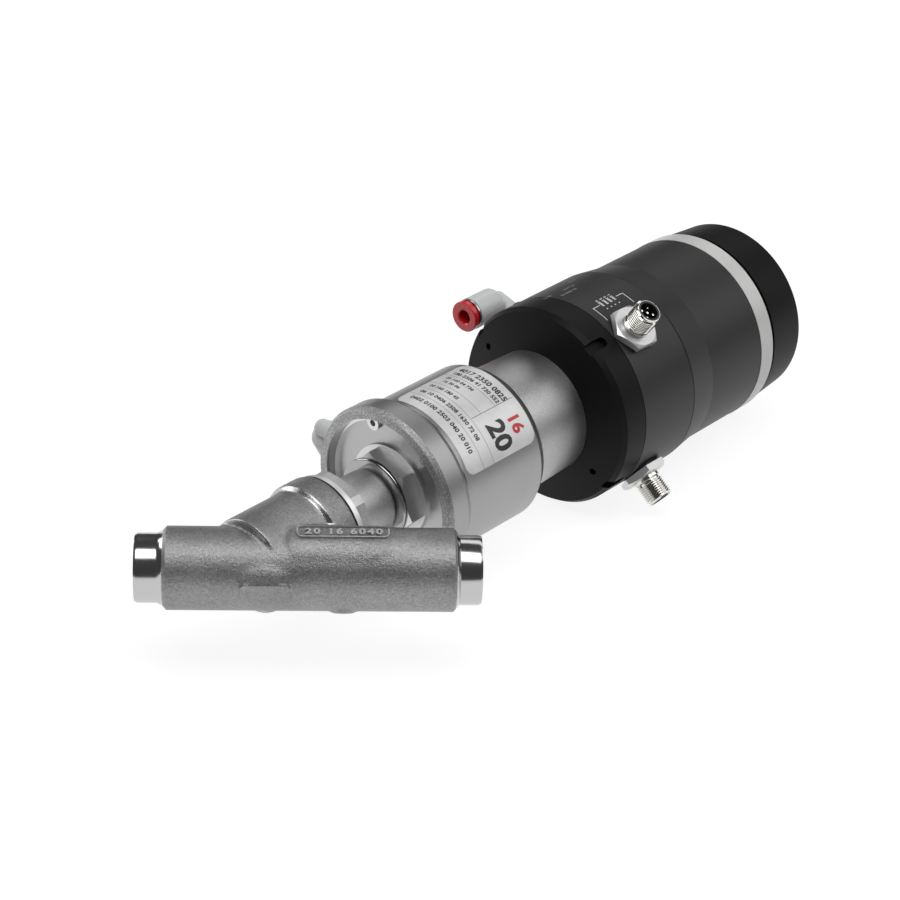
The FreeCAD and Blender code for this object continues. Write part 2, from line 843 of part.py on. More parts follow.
def add_ring_hexagon(body, flats, turn, low, height):
    """A hexagon round a bored piece: padded as a ring, so the bore stays open."""
    sketch = new_sketch(body, "XY_Plane", lift(low))
    draw_polygon(sketch, blunt_hexagon_points(flats, turn, d.bonnet_corner_flat))
    draw_circle(sketch, 0, 0, d.packing_radius + 2)
    pad(body, sketch, height)
    inner = flats / 2 * 0.985
    outer = flats * 0.62
    drop = (outer - inner) * Size("tan(30)", math.tan(math.radians(30)))
    top = low + height
    spin(body, [(inner, top + 0.01), (outer, top - drop), (outer, top + 0.01)], cut=True)


def make_hub():
    """Hub nut that joins the bonnet to the actuator, and the rod seal in it."""
    nose_bore = d.nose_radius + d.fit_gap
    shank_top = cover_face + d.hub_shank
    seal_low = hub_top - d.rod_seal_thickness
    body = turned("hub_nut", [
        (nose_bore, barrel_end), (d.hub_nose_radius, barrel_end), (d.hub_nose_radius, hub_hex_start),
        (nose_bore + 1, hub_hex_start), (nose_bore + 1, hub_flange_start),
        (d.hub_flange_radius, hub_flange_start), (d.hub_flange_radius, cover_face),
        (d.hub_shank_radius, cover_face), (d.hub_shank_radius, hub_top),
        (d.rod_seal_radius, hub_top), (d.rod_seal_radius, seal_low),
        (d.spindle_radius + d.turn_gap, seal_low), (d.spindle_radius + d.turn_gap, shank_top),
        (nose_bore, shank_top),
    ])
    soften_ring(body, d.hub_nose_round, d.hub_nose_radius, barrel_end)
    sketch = new_sketch(body, "XY_Plane", lift(hub_hex_start))
    draw_polygon(sketch, hexagon_points(d.hub_flats, d.hub_corner_turn))
    draw_circle(sketch, 0, 0, nose_bore + 0.5)
    pad(body, sketch, d.hub_hex)
    inner = d.hub_flats / 2 * 0.985
    outer = d.hub_flats * 0.62
    drop = (outer - inner) * Size("tan(30)", math.tan(math.radians(30)))
    low = hub_hex_start
    spin(body, [(inner, low - 0.01), (outer, low - 0.01), (outer, low + drop)], cut=True)
    tube("rod_seal", d.spindle_radius + d.turn_gap, d.rod_seal_radius, seal_low, hub_top)


def make_bottom_cover():
    """Bottom cover of the cylinder, its seal ring and its circlip."""
    edge = d.cylinder_bore - d.fit_gap
    groove = edge - d.ring_depth
    low = cover_face + (d.bottom_cover_thickness - d.ring_height) / 2
    high = low + d.ring_height
    hole = d.hub_shank_radius + d.fit_gap
    body = turned("bottom_cover", [
        (hole, cover_face), (edge, cover_face), (edge, low), (groove, low), (groove, high),
        (edge, high), (edge, cover_top), (hole, cover_top),
    ])
    tube("bottom_cover_seal", groove, edge, low, high)
    make_circlip()


def make_circlip():
    """Internal circlip: an open ring with two drilled lugs."""
    body = new_body("circlip")
    high = cover_face
    low = cover_face - d.circlip_thickness
    outer = d.circlip_radius
    spin(body, [(outer - d.circlip_width, low), (outer, low), (outer, high), (outer - d.circlip_width, high)])
    sketch = new_sketch(body, "XY_Plane", lift(low))
    start = d.circlip_gap_middle - d.circlip_gap_half
    stop = d.circlip_gap_middle + d.circlip_gap_half
    far = outer * 1.6
    draw_polygon(sketch, [
        (0, 0), (far * cosine(start), far * sine(start)),
        (far * cosine(d.circlip_gap_middle), far * sine(d.circlip_gap_middle)),
        (far * cosine(stop), far * sine(stop)),
    ])
    pocket(body, sketch, d.circlip_thickness, reverse=True)
    for side in (-1, 1):
        angle = d.circlip_gap_middle + side * (d.circlip_gap_half + 3.5)
        x = d.circlip_lug_place * cosine(angle)
        y = d.circlip_lug_place * sine(angle)
        sketch = new_sketch(body, "XY_Plane", lift(low))
        draw_circle(sketch, x, y, d.circlip_lug_radius)
        pad(body, sketch, d.circlip_thickness)
        sketch = new_sketch(body, "XY_Plane", lift(low))
        draw_circle(sketch, x, y, d.circlip_hole)
        pocket(body, sketch, d.circlip_thickness, reverse=True)


def make_actuator():
    """Actuator cylinder with its rim, undercut, air port and end wall."""
    body = new_body("actuator_housing")
    spin(body, [
        (0, rim_face), (d.rim_face_radius, rim_face), (d.rim_radius, rim_face + d.rim_bevel),
        (d.rim_radius, rim_end), (d.cylinder_radius, rim_end + d.rim_slope),
        (d.cylinder_radius, housing_end - d.tail_slope),
        (d.cylinder_radius - d.tail_drop, housing_end), (0, housing_end),
    ])
    sketch = new_sketch(body, "XY_Plane", outward(d.port_place, d.port_angle))
    draw_circle(sketch, 0, 0, d.port_boss_radius)
    pad(body, sketch, port_boss_reach)
    clip_low = cover_face - d.circlip_thickness
    clip = d.circlip_radius + d.fit_gap
    bore = d.cylinder_bore
    shaft = d.bush_radius + d.fit_gap
    spin(body, [
        (0, rim_face - 1), (bore, rim_face - 1), (bore, clip_low), (clip, clip_low), (clip, cover_face),
        (bore, cover_face), (bore, housing_floor), (shaft, housing_floor), (shaft, housing_end + 1),
        (0, housing_end + 1),
    ], cut=True)
    radial_hole(body, d.port_place, d.port_angle, d.port_drill, port_boss_reach + 1)
    sketch = new_sketch(body, "XY_Plane", outward_at(d.port_place, d.port_angle, port_boss_reach - d.port_thread_depth))
    draw_circle(sketch, 0, 0, d.port_thread_radius)
    pocket(body, sketch, d.port_thread_depth + 1, reverse=True)
    tube("end_bush", d.target_rod_radius + d.turn_gap, d.bush_radius, housing_floor, housing_end)


def make_piston():
    """Piston with its lip seal, guide ring, nut and the return spring."""
    edge = d.cylinder_bore - d.piston_gap
    groove = edge - d.ring_depth
    shaft = d.spindle_radius + d.turn_gap
    seal_low = piston_low + 1.5
    seal_high = seal_low + d.ring_height
    guide_low = seal_high + 2
    guide_high = guide_low + d.ring_height
    guide_floor = edge - 1.2
    hub_low = piston_low - d.piston_hub_drop
    skirt = edge - d.piston_skirt_wall
    turned("piston", [
        (shaft, hub_low), (d.piston_hub_radius, hub_low), (d.piston_hub_radius, piston_low),
        (edge, piston_low), (edge, seal_low), (groove, seal_low), (groove, seal_high),
        (edge, seal_high), (edge, guide_low), (guide_floor, guide_low), (guide_floor, guide_high),
        (edge, guide_high), (edge, piston_top), (skirt, piston_top), (skirt, piston_seat),
        (shaft, piston_seat),
    ])
    tube("piston_seal", groove, d.cylinder_bore - d.turn_gap, seal_low, seal_high)
    tube("piston_guide_ring", guide_floor, d.cylinder_bore - d.turn_gap, guide_low, guide_high)
    body = new_body("piston_nut")
    sketch = new_sketch(body, "XY_Plane", lift(piston_seat))
    draw_polygon(sketch, hexagon_points(d.piston_nut_flats, as_size(0)))
    draw_circle(sketch, 0, 0, shaft)
    pad(body, sketch, d.piston_nut_height)
    coil("actuator_spring", d.spring_radius, d.spring_wire, piston_seat, housing_floor, d.spring_turns)
    rod_top = flange_rim + 3
    body = turned("target_rod", [
        (0, spindle_end), (d.target_rod_radius, spindle_end), (d.target_rod_radius, rod_top), (0, rod_top),
    ])
    tube("position_target", d.target_rod_radius + d.turn_gap, d.target_radius, rod_top - d.target_length, rod_top)


def make_neck():
    """Neck that carries the positioner, with its undercut and floor."""
    floor = housing_end + d.neck_floor
    bore = d.neck_radius - d.neck_wall
    waist = d.neck_radius - d.neck_undercut
    waist_end = housing_end + d.neck_undercut_width
    hole = d.target_rod_radius + d.piston_gap
    turned("mounting_neck", [
        (hole, housing_end), (waist, housing_end), (waist, waist_end), (d.neck_radius, waist_end),
        (d.neck_end_radius, d.face_place - 0.5), (d.neck_end_radius, neck_end), (bore, neck_end), (bore, floor), (hole, floor),
    ])


def make_base():
    """Positioner base flange: dished face, wrench slots and blind pin holes."""
    body = new_body("positioner_base")
    socket = d.neck_end_radius + d.fit_gap
    socket_end = d.face_place + d.socket_depth
    spin(body, [
        (socket, d.face_place), (face_radius, flange_rim), (d.case_radius, flange_rim + d.base_bevel),
        (d.case_radius, base_end), (d.sensor_bore, base_end), (d.sensor_bore, socket_end),
        (socket, socket_end),
    ])
    for quarter in range(4):
        cut_wrench_slot(body, d.slot_turn + 90 * quarter)
    for half in range(2):
        angle = d.pin_hole_turn + 180 * half
        sketch = new_sketch(body, "XY_Plane", lift(d.face_place))
        draw_circle(sketch, pin_hole_circle * cosine(angle), pin_hole_circle * sine(angle), d.pin_hole_radius)
        pocket(body, sketch, d.pin_hole_depth, reverse=True)
    return body


def cut_wrench_slot(body, angle):
    """An open slot in the rim with a round end, for a hook wrench."""
    half = d.slot_width / 2
    end = flange_rim + d.slot_length - half
    floor = (
        f"placement(vector(0; 0; 0); rotation(vector(0; 0; 1); {angle.text}) * "
        f"rotation(vector(0; 1; 0); 90)) * placement(vector(0; 0; "
        f"{(d.case_radius - d.slot_depth).text}); rotation(vector(0; 0; 1); 0))"
    )
    sketch = new_sketch(body, "XY_Plane", floor)
    low = d.face_place - 1
    draw_polygon(sketch, [(-low, -half), (-low, half), (-end, half), (-end, -half)])
    pocket(body, sketch, d.slot_depth + 1, reverse=True)
    sketch = new_sketch(body, "XY_Plane", floor)
    draw_circle(sketch, -end, 0, half)
    pocket(body, sketch, d.slot_depth + 1, reverse=True)


def make_case():
    """Positioner case with its floor, ports and the threaded spigot."""
    body = new_body("positioner_case")
    floor = case_start + d.case_floor
    spin(body, [
        (d.sensor_bore, case_start), (d.case_radius, case_start), (d.case_radius, case_end),
        (case_bore, case_end), (case_bore, floor), (d.sensor_bore, floor),
    ])
    reach = d.case_radius + 1
    for turn in (d.plug_turn, d.plug_second_turn):
        radial_hole(body, d.plug_place, turn, d.plug_body_radius + d.fit_gap, reach)
        sketch = new_sketch(body, "XY_Plane", outward_at(d.plug_place, turn, d.case_radius - d.plug_seal_sink))
        draw_circle(sketch, 0, 0, d.plug_seal_radius + d.fit_gap)
        pocket(body, sketch, d.plug_seal_sink + 1, reverse=True)
    radial_hole(body, d.elbow_place, d.elbow_turn, d.port_thread_radius + d.fit_gap, reach)
    spot = d.case_radius - 0.6
    sketch = new_sketch(body, "XY_Plane", outward_at(d.elbow_place, d.elbow_turn, spot))
    draw_circle(sketch, 0, 0, d.stud_washer_radius + d.fit_gap)
    pocket(body, sketch, d.plug_seal_sink + 1, reverse=True)
    tube("case_gasket", d.case_radius - d.case_wall, d.case_radius - 0.8, base_end, case_start)
    outer = case_bore - d.fit_gap
    spigot_low = case_end - 4
    spigot_top = case_end + d.spigot_length
    tube("cover_spigot", outer - d.spigot_wall, outer, spigot_low, spigot_top)
    return body


def outward_at(station, angle, radius):
    """Attachment offset of a sketch that faces out at a given radius."""
    return f"{outward(station, angle)} * {lift(radius)}"


def make_cover():
    """Screwed cover with its cone, the light ring, the end cap and the seal."""
    thread = case_bore + d.thread_gap - d.fit_gap
    cone_end = cover_start + d.cover_cone
    thread_end = cover_start + d.spigot_length + 1
    seal_low = cover_start + 1.5
    seal_high = seal_low + d.ring_height
    turned("cover", [
        (thread, cover_start), (d.case_radius - 0.3, cover_start), (d.case_radius, cover_start + 0.3),
        (cover_radius, cone_end), (cover_radius, cover_end), (cover_bore, cover_end),
        (cover_bore, thread_end), (thread, thread_end),
        (thread, seal_high), (thread + 1.2, seal_high), (thread + 1.2, seal_low), (thread, seal_low),
    ])
    tube("cover_seal", case_bore - d.fit_gap + d.turn_gap, thread + 1.1, seal_low + 0.1, seal_high - 0.1)
    tube("light_ring", cover_bore, light_radius, cover_end, light_end)
    body = turned("end_cap", [
        (0, cap_end), (cap_end_radius, cap_end), (cap_radius, cap_start),
        (cap_groove_radius, cap_start), (cap_groove_radius, light_end), (cover_bore, light_end),
        (cover_bore, cap_start), (cover_bore - d.cap_wall, cap_start + 2),
        (cover_bore - d.cap_wall, cap_end - d.cap_wall), (0, cap_end - d.cap_wall),
    ])
    soften_ring(body, d.cap_round, cap_end_radius, cap_end)


def make_connector(number, turn):
    """One round connector: shell, nut, seal, insert and five pins."""
    place = radial_place(d.plug_place, turn)
    surface = d.case_radius - d.plug_seal_sink
    root = d.case_radius - d.plug_root
    recess = plug_reach - d.plug_recess
    nut_top = surface + d.plug_seal_height + d.plug_nut_height
    body = turned(f"connector_shell_{number}", [
        (d.plug_bore, root), (d.plug_body_radius, root), (d.plug_body_radius, nut_top + d.plug_relief),
        (d.plug_thread_radius, nut_top + d.plug_relief), (d.plug_thread_radius, plug_reach - 0.5),
        (d.plug_thread_radius - 0.5, plug_reach), (d.plug_bore, plug_reach),
    ], place)
    seal_top = surface + d.plug_seal_height
    tube(f"connector_seal_{number}", d.plug_body_radius, d.plug_seal_radius, surface, seal_top, place)
    body = new_body(f"connector_nut_{number}", place)
    sketch = new_sketch(body, "XY_Plane", lift(seal_top))
    draw_polygon(sketch, hexagon_points(d.plug_nut_flats, d.plug_nut_turn))
    draw_circle(sketch, 0, 0, d.plug_body_radius)
    pad(body, sketch, d.plug_nut_height)
    inner = d.plug_nut_flats / 2 * 0.985
    outer = d.plug_nut_flats * 0.62
    drop = (outer - inner) * Size("tan(30)", math.tan(math.radians(30)))
    spin(body, [(inner, nut_top + 0.01), (outer, nut_top - drop), (outer, nut_top + 0.01)], cut=True)
    body = turned(f"connector_insert_{number}", [
        (0, root), (d.plug_bore, root), (d.plug_bore, recess), (0, recess),
    ], place)
    body = new_body(f"connector_pins_{number}", place)
    for i in range(5):
        sketch = new_sketch(body, "XY_Plane", lift(recess))
        x = d.pin_circle * cosine(90 * i + 45) if i < 4 else 0
        y = d.pin_circle * sine(90 * i + 45) if i < 4 else 0
        draw_circle(sketch, x, y, d.pin_radius)
        pad(body, sketch, d.plug_recess - 1.5)
    return body


def make_elbow(name, station, turn, radius, swivel):
    """One push-in elbow: stud, washer, swivel body, grip cap and collet."""
    place = radial_place(station, turn)
    turned_place = f"{place} * placement(vector(0; 0; 0); rotation(vector(0; 0; 1); {swivel.text}))"
    seat_low = radius
    washer_top = seat_low + d.stud_washer
    stud_top = washer_top + d.stud_height
    thread = d.port_thread_radius
    thread_low = seat_low - d.stud_thread_length
    axis = radius + d.elbow_height
    turned(f"{name}_stud", [
        (d.barb_radius - 0.6, thread_low), (thread - d.fit_gap, thread_low),
        (thread - d.fit_gap, washer_top), (d.stud_radius, washer_top), (d.stud_radius, stud_top),
        (d.barb_radius, stud_top), (d.barb_radius, stud_top + 4), (d.barb_radius - 0.6, stud_top + 4),
    ], place)
    tube(f"{name}_washer", thread, d.stud_washer_radius, seat_low, washer_top, place)
    body = new_body(f"{name}_body", turned_place)
    leg_low = stud_top + d.seam_gap
    dome = axis + d.leg_radius
    spin(body, [(0, leg_low), (d.leg_radius, leg_low), (d.leg_radius, dome), (0, dome)])
    soften_ring(body, d.leg_radius * 0.9, d.leg_radius, dome)
    start = d.socket_start
    face = start + d.socket_length
    sketch = new_sketch(body, "YZ_Plane", lift(start))
    draw_circle(sketch, 0, axis, d.socket_radius)
    pad(body, sketch, d.socket_length)
    base = body.Tip
    edges = []
    for index, edge in enumerate(base.Shape.Edges, start=1):
        if isinstance(edge.Curve, Part.Circle) and abs(edge.Curve.Radius - d.socket_radius.value) < 1e-4:
            if abs(edge.Curve.Center.x - start.value) < 1e-4:
                edges.append(f"Edge{index}")
    feature = body.newObject("PartDesign::Fillet", f"{name}_round")
    feature.Base = (base, edges)
    feature.setExpression("Radius", d.socket_round.text)
    doc.recompute()
    sketch = new_sketch(body, "YZ_Plane", lift(face))
    draw_circle(sketch, 0, axis, d.grip_radius)
    pocket(body, sketch, d.grip_depth)
    sketch = new_sketch(body, "YZ_Plane", lift(face - d.grip_depth))
    draw_circle(sketch, 0, axis, d.tube_radius)
    pocket(body, sketch, d.tube_insert - d.grip_depth)
    sketch = new_sketch(body, "YZ_Plane", lift(face - d.tube_insert))
    draw_circle(sketch, 0, axis, d.barb_radius)
    pocket(body, sketch, face - d.tube_insert)
    spin(body, [(0, leg_low - 1), (d.barb_radius + d.fit_gap, leg_low - 1),
                (d.barb_radius + d.fit_gap, axis), (0, axis)], cut=True)
    port = (
        f"{turned_place} * placement(vector(0; 0; {axis.text}); rotation(vector(0; 1; 0); 90))"
    )
    cap_top = face + d.grip_cap
    tube(f"{name}_grip_cap", d.grip_radius, d.grip_cap_radius, face, cap_top, port)
    flange_low = cap_top + d.collet_travel + 0.2
    flange_top = flange_low + d.collet_flange
    sleeve = d.grip_radius - d.piston_gap
    body = turned(f"{name}_collet", [
        (d.tube_radius, flange_low - d.collet_sleeve), (sleeve, flange_low - d.collet_sleeve),
        (sleeve, flange_low), (d.collet_flange_radius, flange_low), (d.collet_flange_radius, flange_top),
        (d.tube_radius + 0.5, flange_top), (d.tube_radius, flange_top - 0.5),
    ], port)
    soften_ring(body, 0.6, d.collet_flange_radius, flange_top)


def make_electronics():
    """Sensor sleeve, valve block, pilot coils and the control board."""
    floor = case_start + d.case_floor
    sleeve_low = d.face_place + d.socket_depth
    tube("position_sensor", d.target_radius + 0.5, d.sensor_bore - d.fit_gap, sleeve_low, floor + 6)
    body = new_body("valve_block")
    spin(body, [(d.sensor_bore + 1, floor), (d.manifold_radius, floor),
                (d.manifold_radius, floor + d.manifold_height), (d.sensor_bore + 1, floor + d.manifold_height)])
    body = new_body("pilot_coils")
    for side in (-1, 1):
        sketch = new_sketch(body, "XY_Plane", lift(floor + d.manifold_height))
        draw_circle(sketch, side * d.coil_place, 0, d.coil_radius)
        pad(body, sketch, d.coil_height)
    board = case_end + d.spigot_length
    edge = case_bore - d.fit_gap - d.board_margin
    turned("control_board", [
        (0, board), (edge, board), (edge, board + d.board_thickness), (0, board + d.board_thickness),
    ])


make_valve_body()
make_trim()
make_bonnet()
make_hub()
make_bottom_cover()
make_actuator()
make_piston()
make_neck()
make_base()
make_case()
make_cover()
make_connector(1, d.plug_turn)
make_connector(2, d.plug_second_turn)
make_elbow("supply_elbow", d.elbow_place, d.elbow_turn, d.case_radius - 0.6, as_size(0))
make_elbow("actuator_elbow", d.port_place, d.port_angle, port_boss_reach, d.actuator_elbow_swivel)
make_electronics()
doc.recompute()

nodes = [item for item in doc.Objects if item.TypeId in ("PartDesign::Body", "Part::Feature")]
for item in doc.Objects:
    if "Invalid" in item.State or "Error" in item.State:
        raise ValueError(f"{item.Label} is not in order: {item.State}")
for node in nodes:
    if node.Shape.isNull() or not node.Shape.isValid():
        raise ValueError(f"{node.Label} has no sound shape")
    node.Shape.exportStep(f"parts/{node.Label}.step")
print(len(nodes), "nodes written")
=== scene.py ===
# %% [markdown]
# # A pneumatic control valve, dressed for its portrait
# The CAD model holds every solid of the valve at its true size. This lesson loads it as a
# fixed frame, puts the camera where the photographer stood, builds the few pieces that a
# mesh does better than a solid, and gives every surface a finish made from nodes.

# %% Load the frame
import bpy
import json
import math
from mathutils import Matrix, Vector

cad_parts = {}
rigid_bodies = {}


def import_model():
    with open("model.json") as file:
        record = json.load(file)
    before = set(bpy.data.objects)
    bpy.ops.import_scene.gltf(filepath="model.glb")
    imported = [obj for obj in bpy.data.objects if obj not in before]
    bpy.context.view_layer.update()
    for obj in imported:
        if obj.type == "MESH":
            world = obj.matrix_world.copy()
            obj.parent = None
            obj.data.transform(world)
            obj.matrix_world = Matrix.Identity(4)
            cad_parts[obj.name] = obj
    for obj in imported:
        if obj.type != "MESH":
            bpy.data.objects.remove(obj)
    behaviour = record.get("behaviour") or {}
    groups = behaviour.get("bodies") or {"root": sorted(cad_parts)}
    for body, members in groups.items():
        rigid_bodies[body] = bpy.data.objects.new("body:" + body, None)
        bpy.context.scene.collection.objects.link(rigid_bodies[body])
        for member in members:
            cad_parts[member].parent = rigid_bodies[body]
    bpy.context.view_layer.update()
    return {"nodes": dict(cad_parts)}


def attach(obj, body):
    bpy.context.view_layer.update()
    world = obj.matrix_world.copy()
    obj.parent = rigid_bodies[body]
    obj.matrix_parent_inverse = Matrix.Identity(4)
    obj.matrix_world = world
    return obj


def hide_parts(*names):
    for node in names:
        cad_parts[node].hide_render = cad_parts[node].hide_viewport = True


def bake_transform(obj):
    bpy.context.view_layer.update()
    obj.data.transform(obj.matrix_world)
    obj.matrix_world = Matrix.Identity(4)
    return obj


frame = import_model()
print("CAD nodes:", len(frame["nodes"]))

# %% [markdown]
# Two axes rule this valve: the pipe, along X, and the stem, which leaves the pipe at 45
# degrees. A point near the stem is told most easily by its station along the stem, its
# radius, and its angle round the stem, so a helper turns those three into a place. Sizes
# are written in millimetres and turned into metres at the last moment.

# %% Places on the stem
MM = 0.001
STEM_FOOT = Vector((41.9, 0, 0)) * MM
STEM = Vector((1, 1, 0)).normalized()
SIDE = Vector((-1, 1, 0)).normalized()
UP = Vector((0, 0, 1))


def on_stem(station, radius=0.0, angle=0.0):
    """Place at a station, radius (mm) and angle (degrees) round the stem."""
    turn = math.radians(angle)
    out = SIDE * math.cos(turn) + UP * math.sin(turn)
    return STEM_FOOT + (STEM * station + out * radius) * MM


def stem_matrix(station, angle=0.0):
    """Local Z runs along the stem, local X points out at the angle."""
    turn = math.radians(angle)
    out = SIDE * math.cos(turn) + UP * math.sin(turn)
    across = STEM.cross(out)
    spot = on_stem(station)
    return Matrix((
        (out.x, across.x, STEM.x, spot.x),
        (out.y, across.y, STEM.y, spot.y),
        (out.z, across.z, STEM.z, spot.z),
        (0, 0, 0, 1),
    ))


print("10 mm up the stem:", on_stem(10))

# %% [markdown]
# ## The camera
# The photograph was taken with a long lens from a little above, nearly square to the pipe.
# The round edges of the valve, whose sizes are known, fix the place and the turn of the
# camera. It goes in before anything else, so that each piece can be judged from there.

# %% Camera
LENS = 100.7
SENSOR = 36
eye = Vector((0.0645, -0.7923, 0.5434))
right = Vector((0.99832, -0.04272, 0.03902))
upward = Vector((-0.01072, 0.52614, 0.85033))
toward = right.cross(upward)
camera_data = bpy.data.cameras.new("camera")
camera_data.lens = LENS
camera_data.sensor_width = SENSOR
camera_data.clip_end = 20
camera = bpy.data.objects.new("camera", camera_data)
bpy.context.scene.collection.objects.link(camera)
camera.matrix_world = Matrix((
    (right.x, upward.x, toward.x, eye.x),
    (right.y, upward.y, toward.y, eye.y),
    (right.z, upward.z, toward.z, eye.z),
    (0, 0, 0, 1),
))
bpy.context.scene.camera = camera
print("camera looks along", -toward)

# %% [markdown]
# ## The floor
# The valve lies on a plain white table. The table is an ordinary diffuse surface, and only
# for the camera and for reflections does a part of its white come from emission, so the
# ground reads as white and still keeps a soft shadow. A mix between two shaders does this,
# and the light path says which kind of ray is asking.

# %% Floor
FLOOR_HEIGHT = -0.0452
TABLE_WHITE = 0.8
SEEN_WHITE = 0.22
SEEN_GLOW = 0.88
bpy.ops.mesh.primitive_plane_add(size=12, location=(0.1, 0.1, FLOOR_HEIGHT))
floor = bpy.context.object
floor.name = "table_top"
table = bpy.data.materials.new("white_table")
table.use_nodes = True
nodes, links = table.node_tree.nodes, table.node_tree.links
nodes.clear()


def floor_node(kind, *sockets):
    """A new node of the floor, with sockets linked to its inputs in order."""
    node = nodes.new(kind)
    for socket, source in zip(node.inputs, sockets):
        links.new(source, socket)
    return node


def larger(first, second):
    """The larger of two values."""
    node = floor_node("ShaderNodeMath", first, second)
    node.operation = "MAXIMUM"
    return node.outputs[0]


def diffuse(level):
    """A dull grey shader."""
    node = floor_node("ShaderNodeBsdfDiffuse")
    node.inputs["Color"].default_value = (level, level, level, 1)
    return node.outputs[0]


glow = floor_node("ShaderNodeEmission")
glow.inputs["Strength"].default_value = SEEN_GLOW
both = floor_node("ShaderNodeAddShader", diffuse(SEEN_WHITE), glow.outputs[0])
ray = floor_node("ShaderNodeLightPath").outputs
mirrored = larger(ray["Is Glossy Ray"], ray["Is Transmission Ray"])
seen = larger(ray["Is Camera Ray"], mirrored)
pick = floor_node("ShaderNodeMixShader", seen, diffuse(TABLE_WHITE), both.outputs[0])
floor_node("ShaderNodeOutputMaterial", pick.outputs[0])
floor.data.materials.append(table)
print("floor nodes:", len(nodes))

# %% [markdown]
# ## Light and world
# Steel needs something bright and something dark to mirror. One large soft lamp above and
# in front gives the broad highlights, three weaker ones fill the sides and the back, and a
# dim world keeps the shadows open. All four are area lamps, whose size sets how soft they are.

# %% Lamps and world
VALVE_MIDDLE = Vector((0.13, 0.10, 0.0))
WORLD_LIGHT = 0.07


def soft_lamp(name, place, width, height, power):
    """A rectangular lamp that looks at the valve."""
    data = bpy.data.lights.new(name, "AREA")
    data.shape = "RECTANGLE"
    data.size = width
    data.size_y = height
    data.energy = power
    lamp = bpy.data.objects.new(name, data)
    bpy.context.scene.collection.objects.link(lamp)
    lamp.location = place
    lamp.rotation_euler = (VALVE_MIDDLE - Vector(place)).to_track_quat("-Z", "Y").to_euler()


soft_lamp("top_lamp", (0.10, -0.22, 1.26), width=1.7, height=0.75, power=12.5)
soft_lamp("left_lamp", (-1.1, 0.9, 0.5), width=0.7, height=0.8, power=5)
soft_lamp("right_lamp", (1.2, 0.2, 0.75), width=1.0, height=0.9, power=4)
soft_lamp("back_lamp", (0.35, 1.25, 0.95), width=1.5, height=0.5, power=3)
world = bpy.data.worlds.new("dim_room")
world.use_nodes = True
background = world.node_tree.nodes["Background"]
background.inputs["Color"].default_value = (1, 1, 1, 1)
background.inputs["Strength"].default_value = WORLD_LIGHT
bpy.context.scene.world = world
bpy.context.scene.view_settings.view_transform = "Standard"
print("lamps:", len(bpy.data.lights))

# %% [markdown]
# ## Shader maths as plain expressions
# A finish is a little sum: grain times strength, plus a mask. Wiring that by hand is slow to
# read, so one small class wraps a socket and adds a Math node for each +, - and *. Any
# other node comes from `Finish.node`, which sets the node up and links its inputs.

# %% Shader helpers


class Wire:
    """One output socket, with arithmetic."""

    def __init__(self, made, socket):
        self.made = made
        self.socket = socket

    def math(self, kind, *others):
        """A Math node of this kind, with this wire first."""
        return self.made.node("ShaderNodeMath", {"operation": kind}, self, *others)

    def __add__(self, other):
        return self.math("ADD", other)

    def __mul__(self, other):
        return self.math("MULTIPLY", other)

    def __sub__(self, other):
        return self.math("SUBTRACT", other)

    def __rsub__(self, other):
        return self.made.node("ShaderNodeMath", {"operation": "SUBTRACT"}, other, self)

    __radd__ = __add__

    def step(self, low, high):
        """0 below low, 1 above high, smooth between; low above high turns it round."""
        ends = (low, high, 0.0, 1.0) if low < high else (high, low, 1.0, 0.0)
        smooth = {"interpolation_type": "SMOOTHSTEP"}
        return self.made.node("ShaderNodeMapRange", smooth, self, *ends)

    def band(self, low, high, soft=0.15):
        """1 between two values, 0 outside."""
        return self.step(low - soft, low + soft) * self.step(high + soft, high - soft)


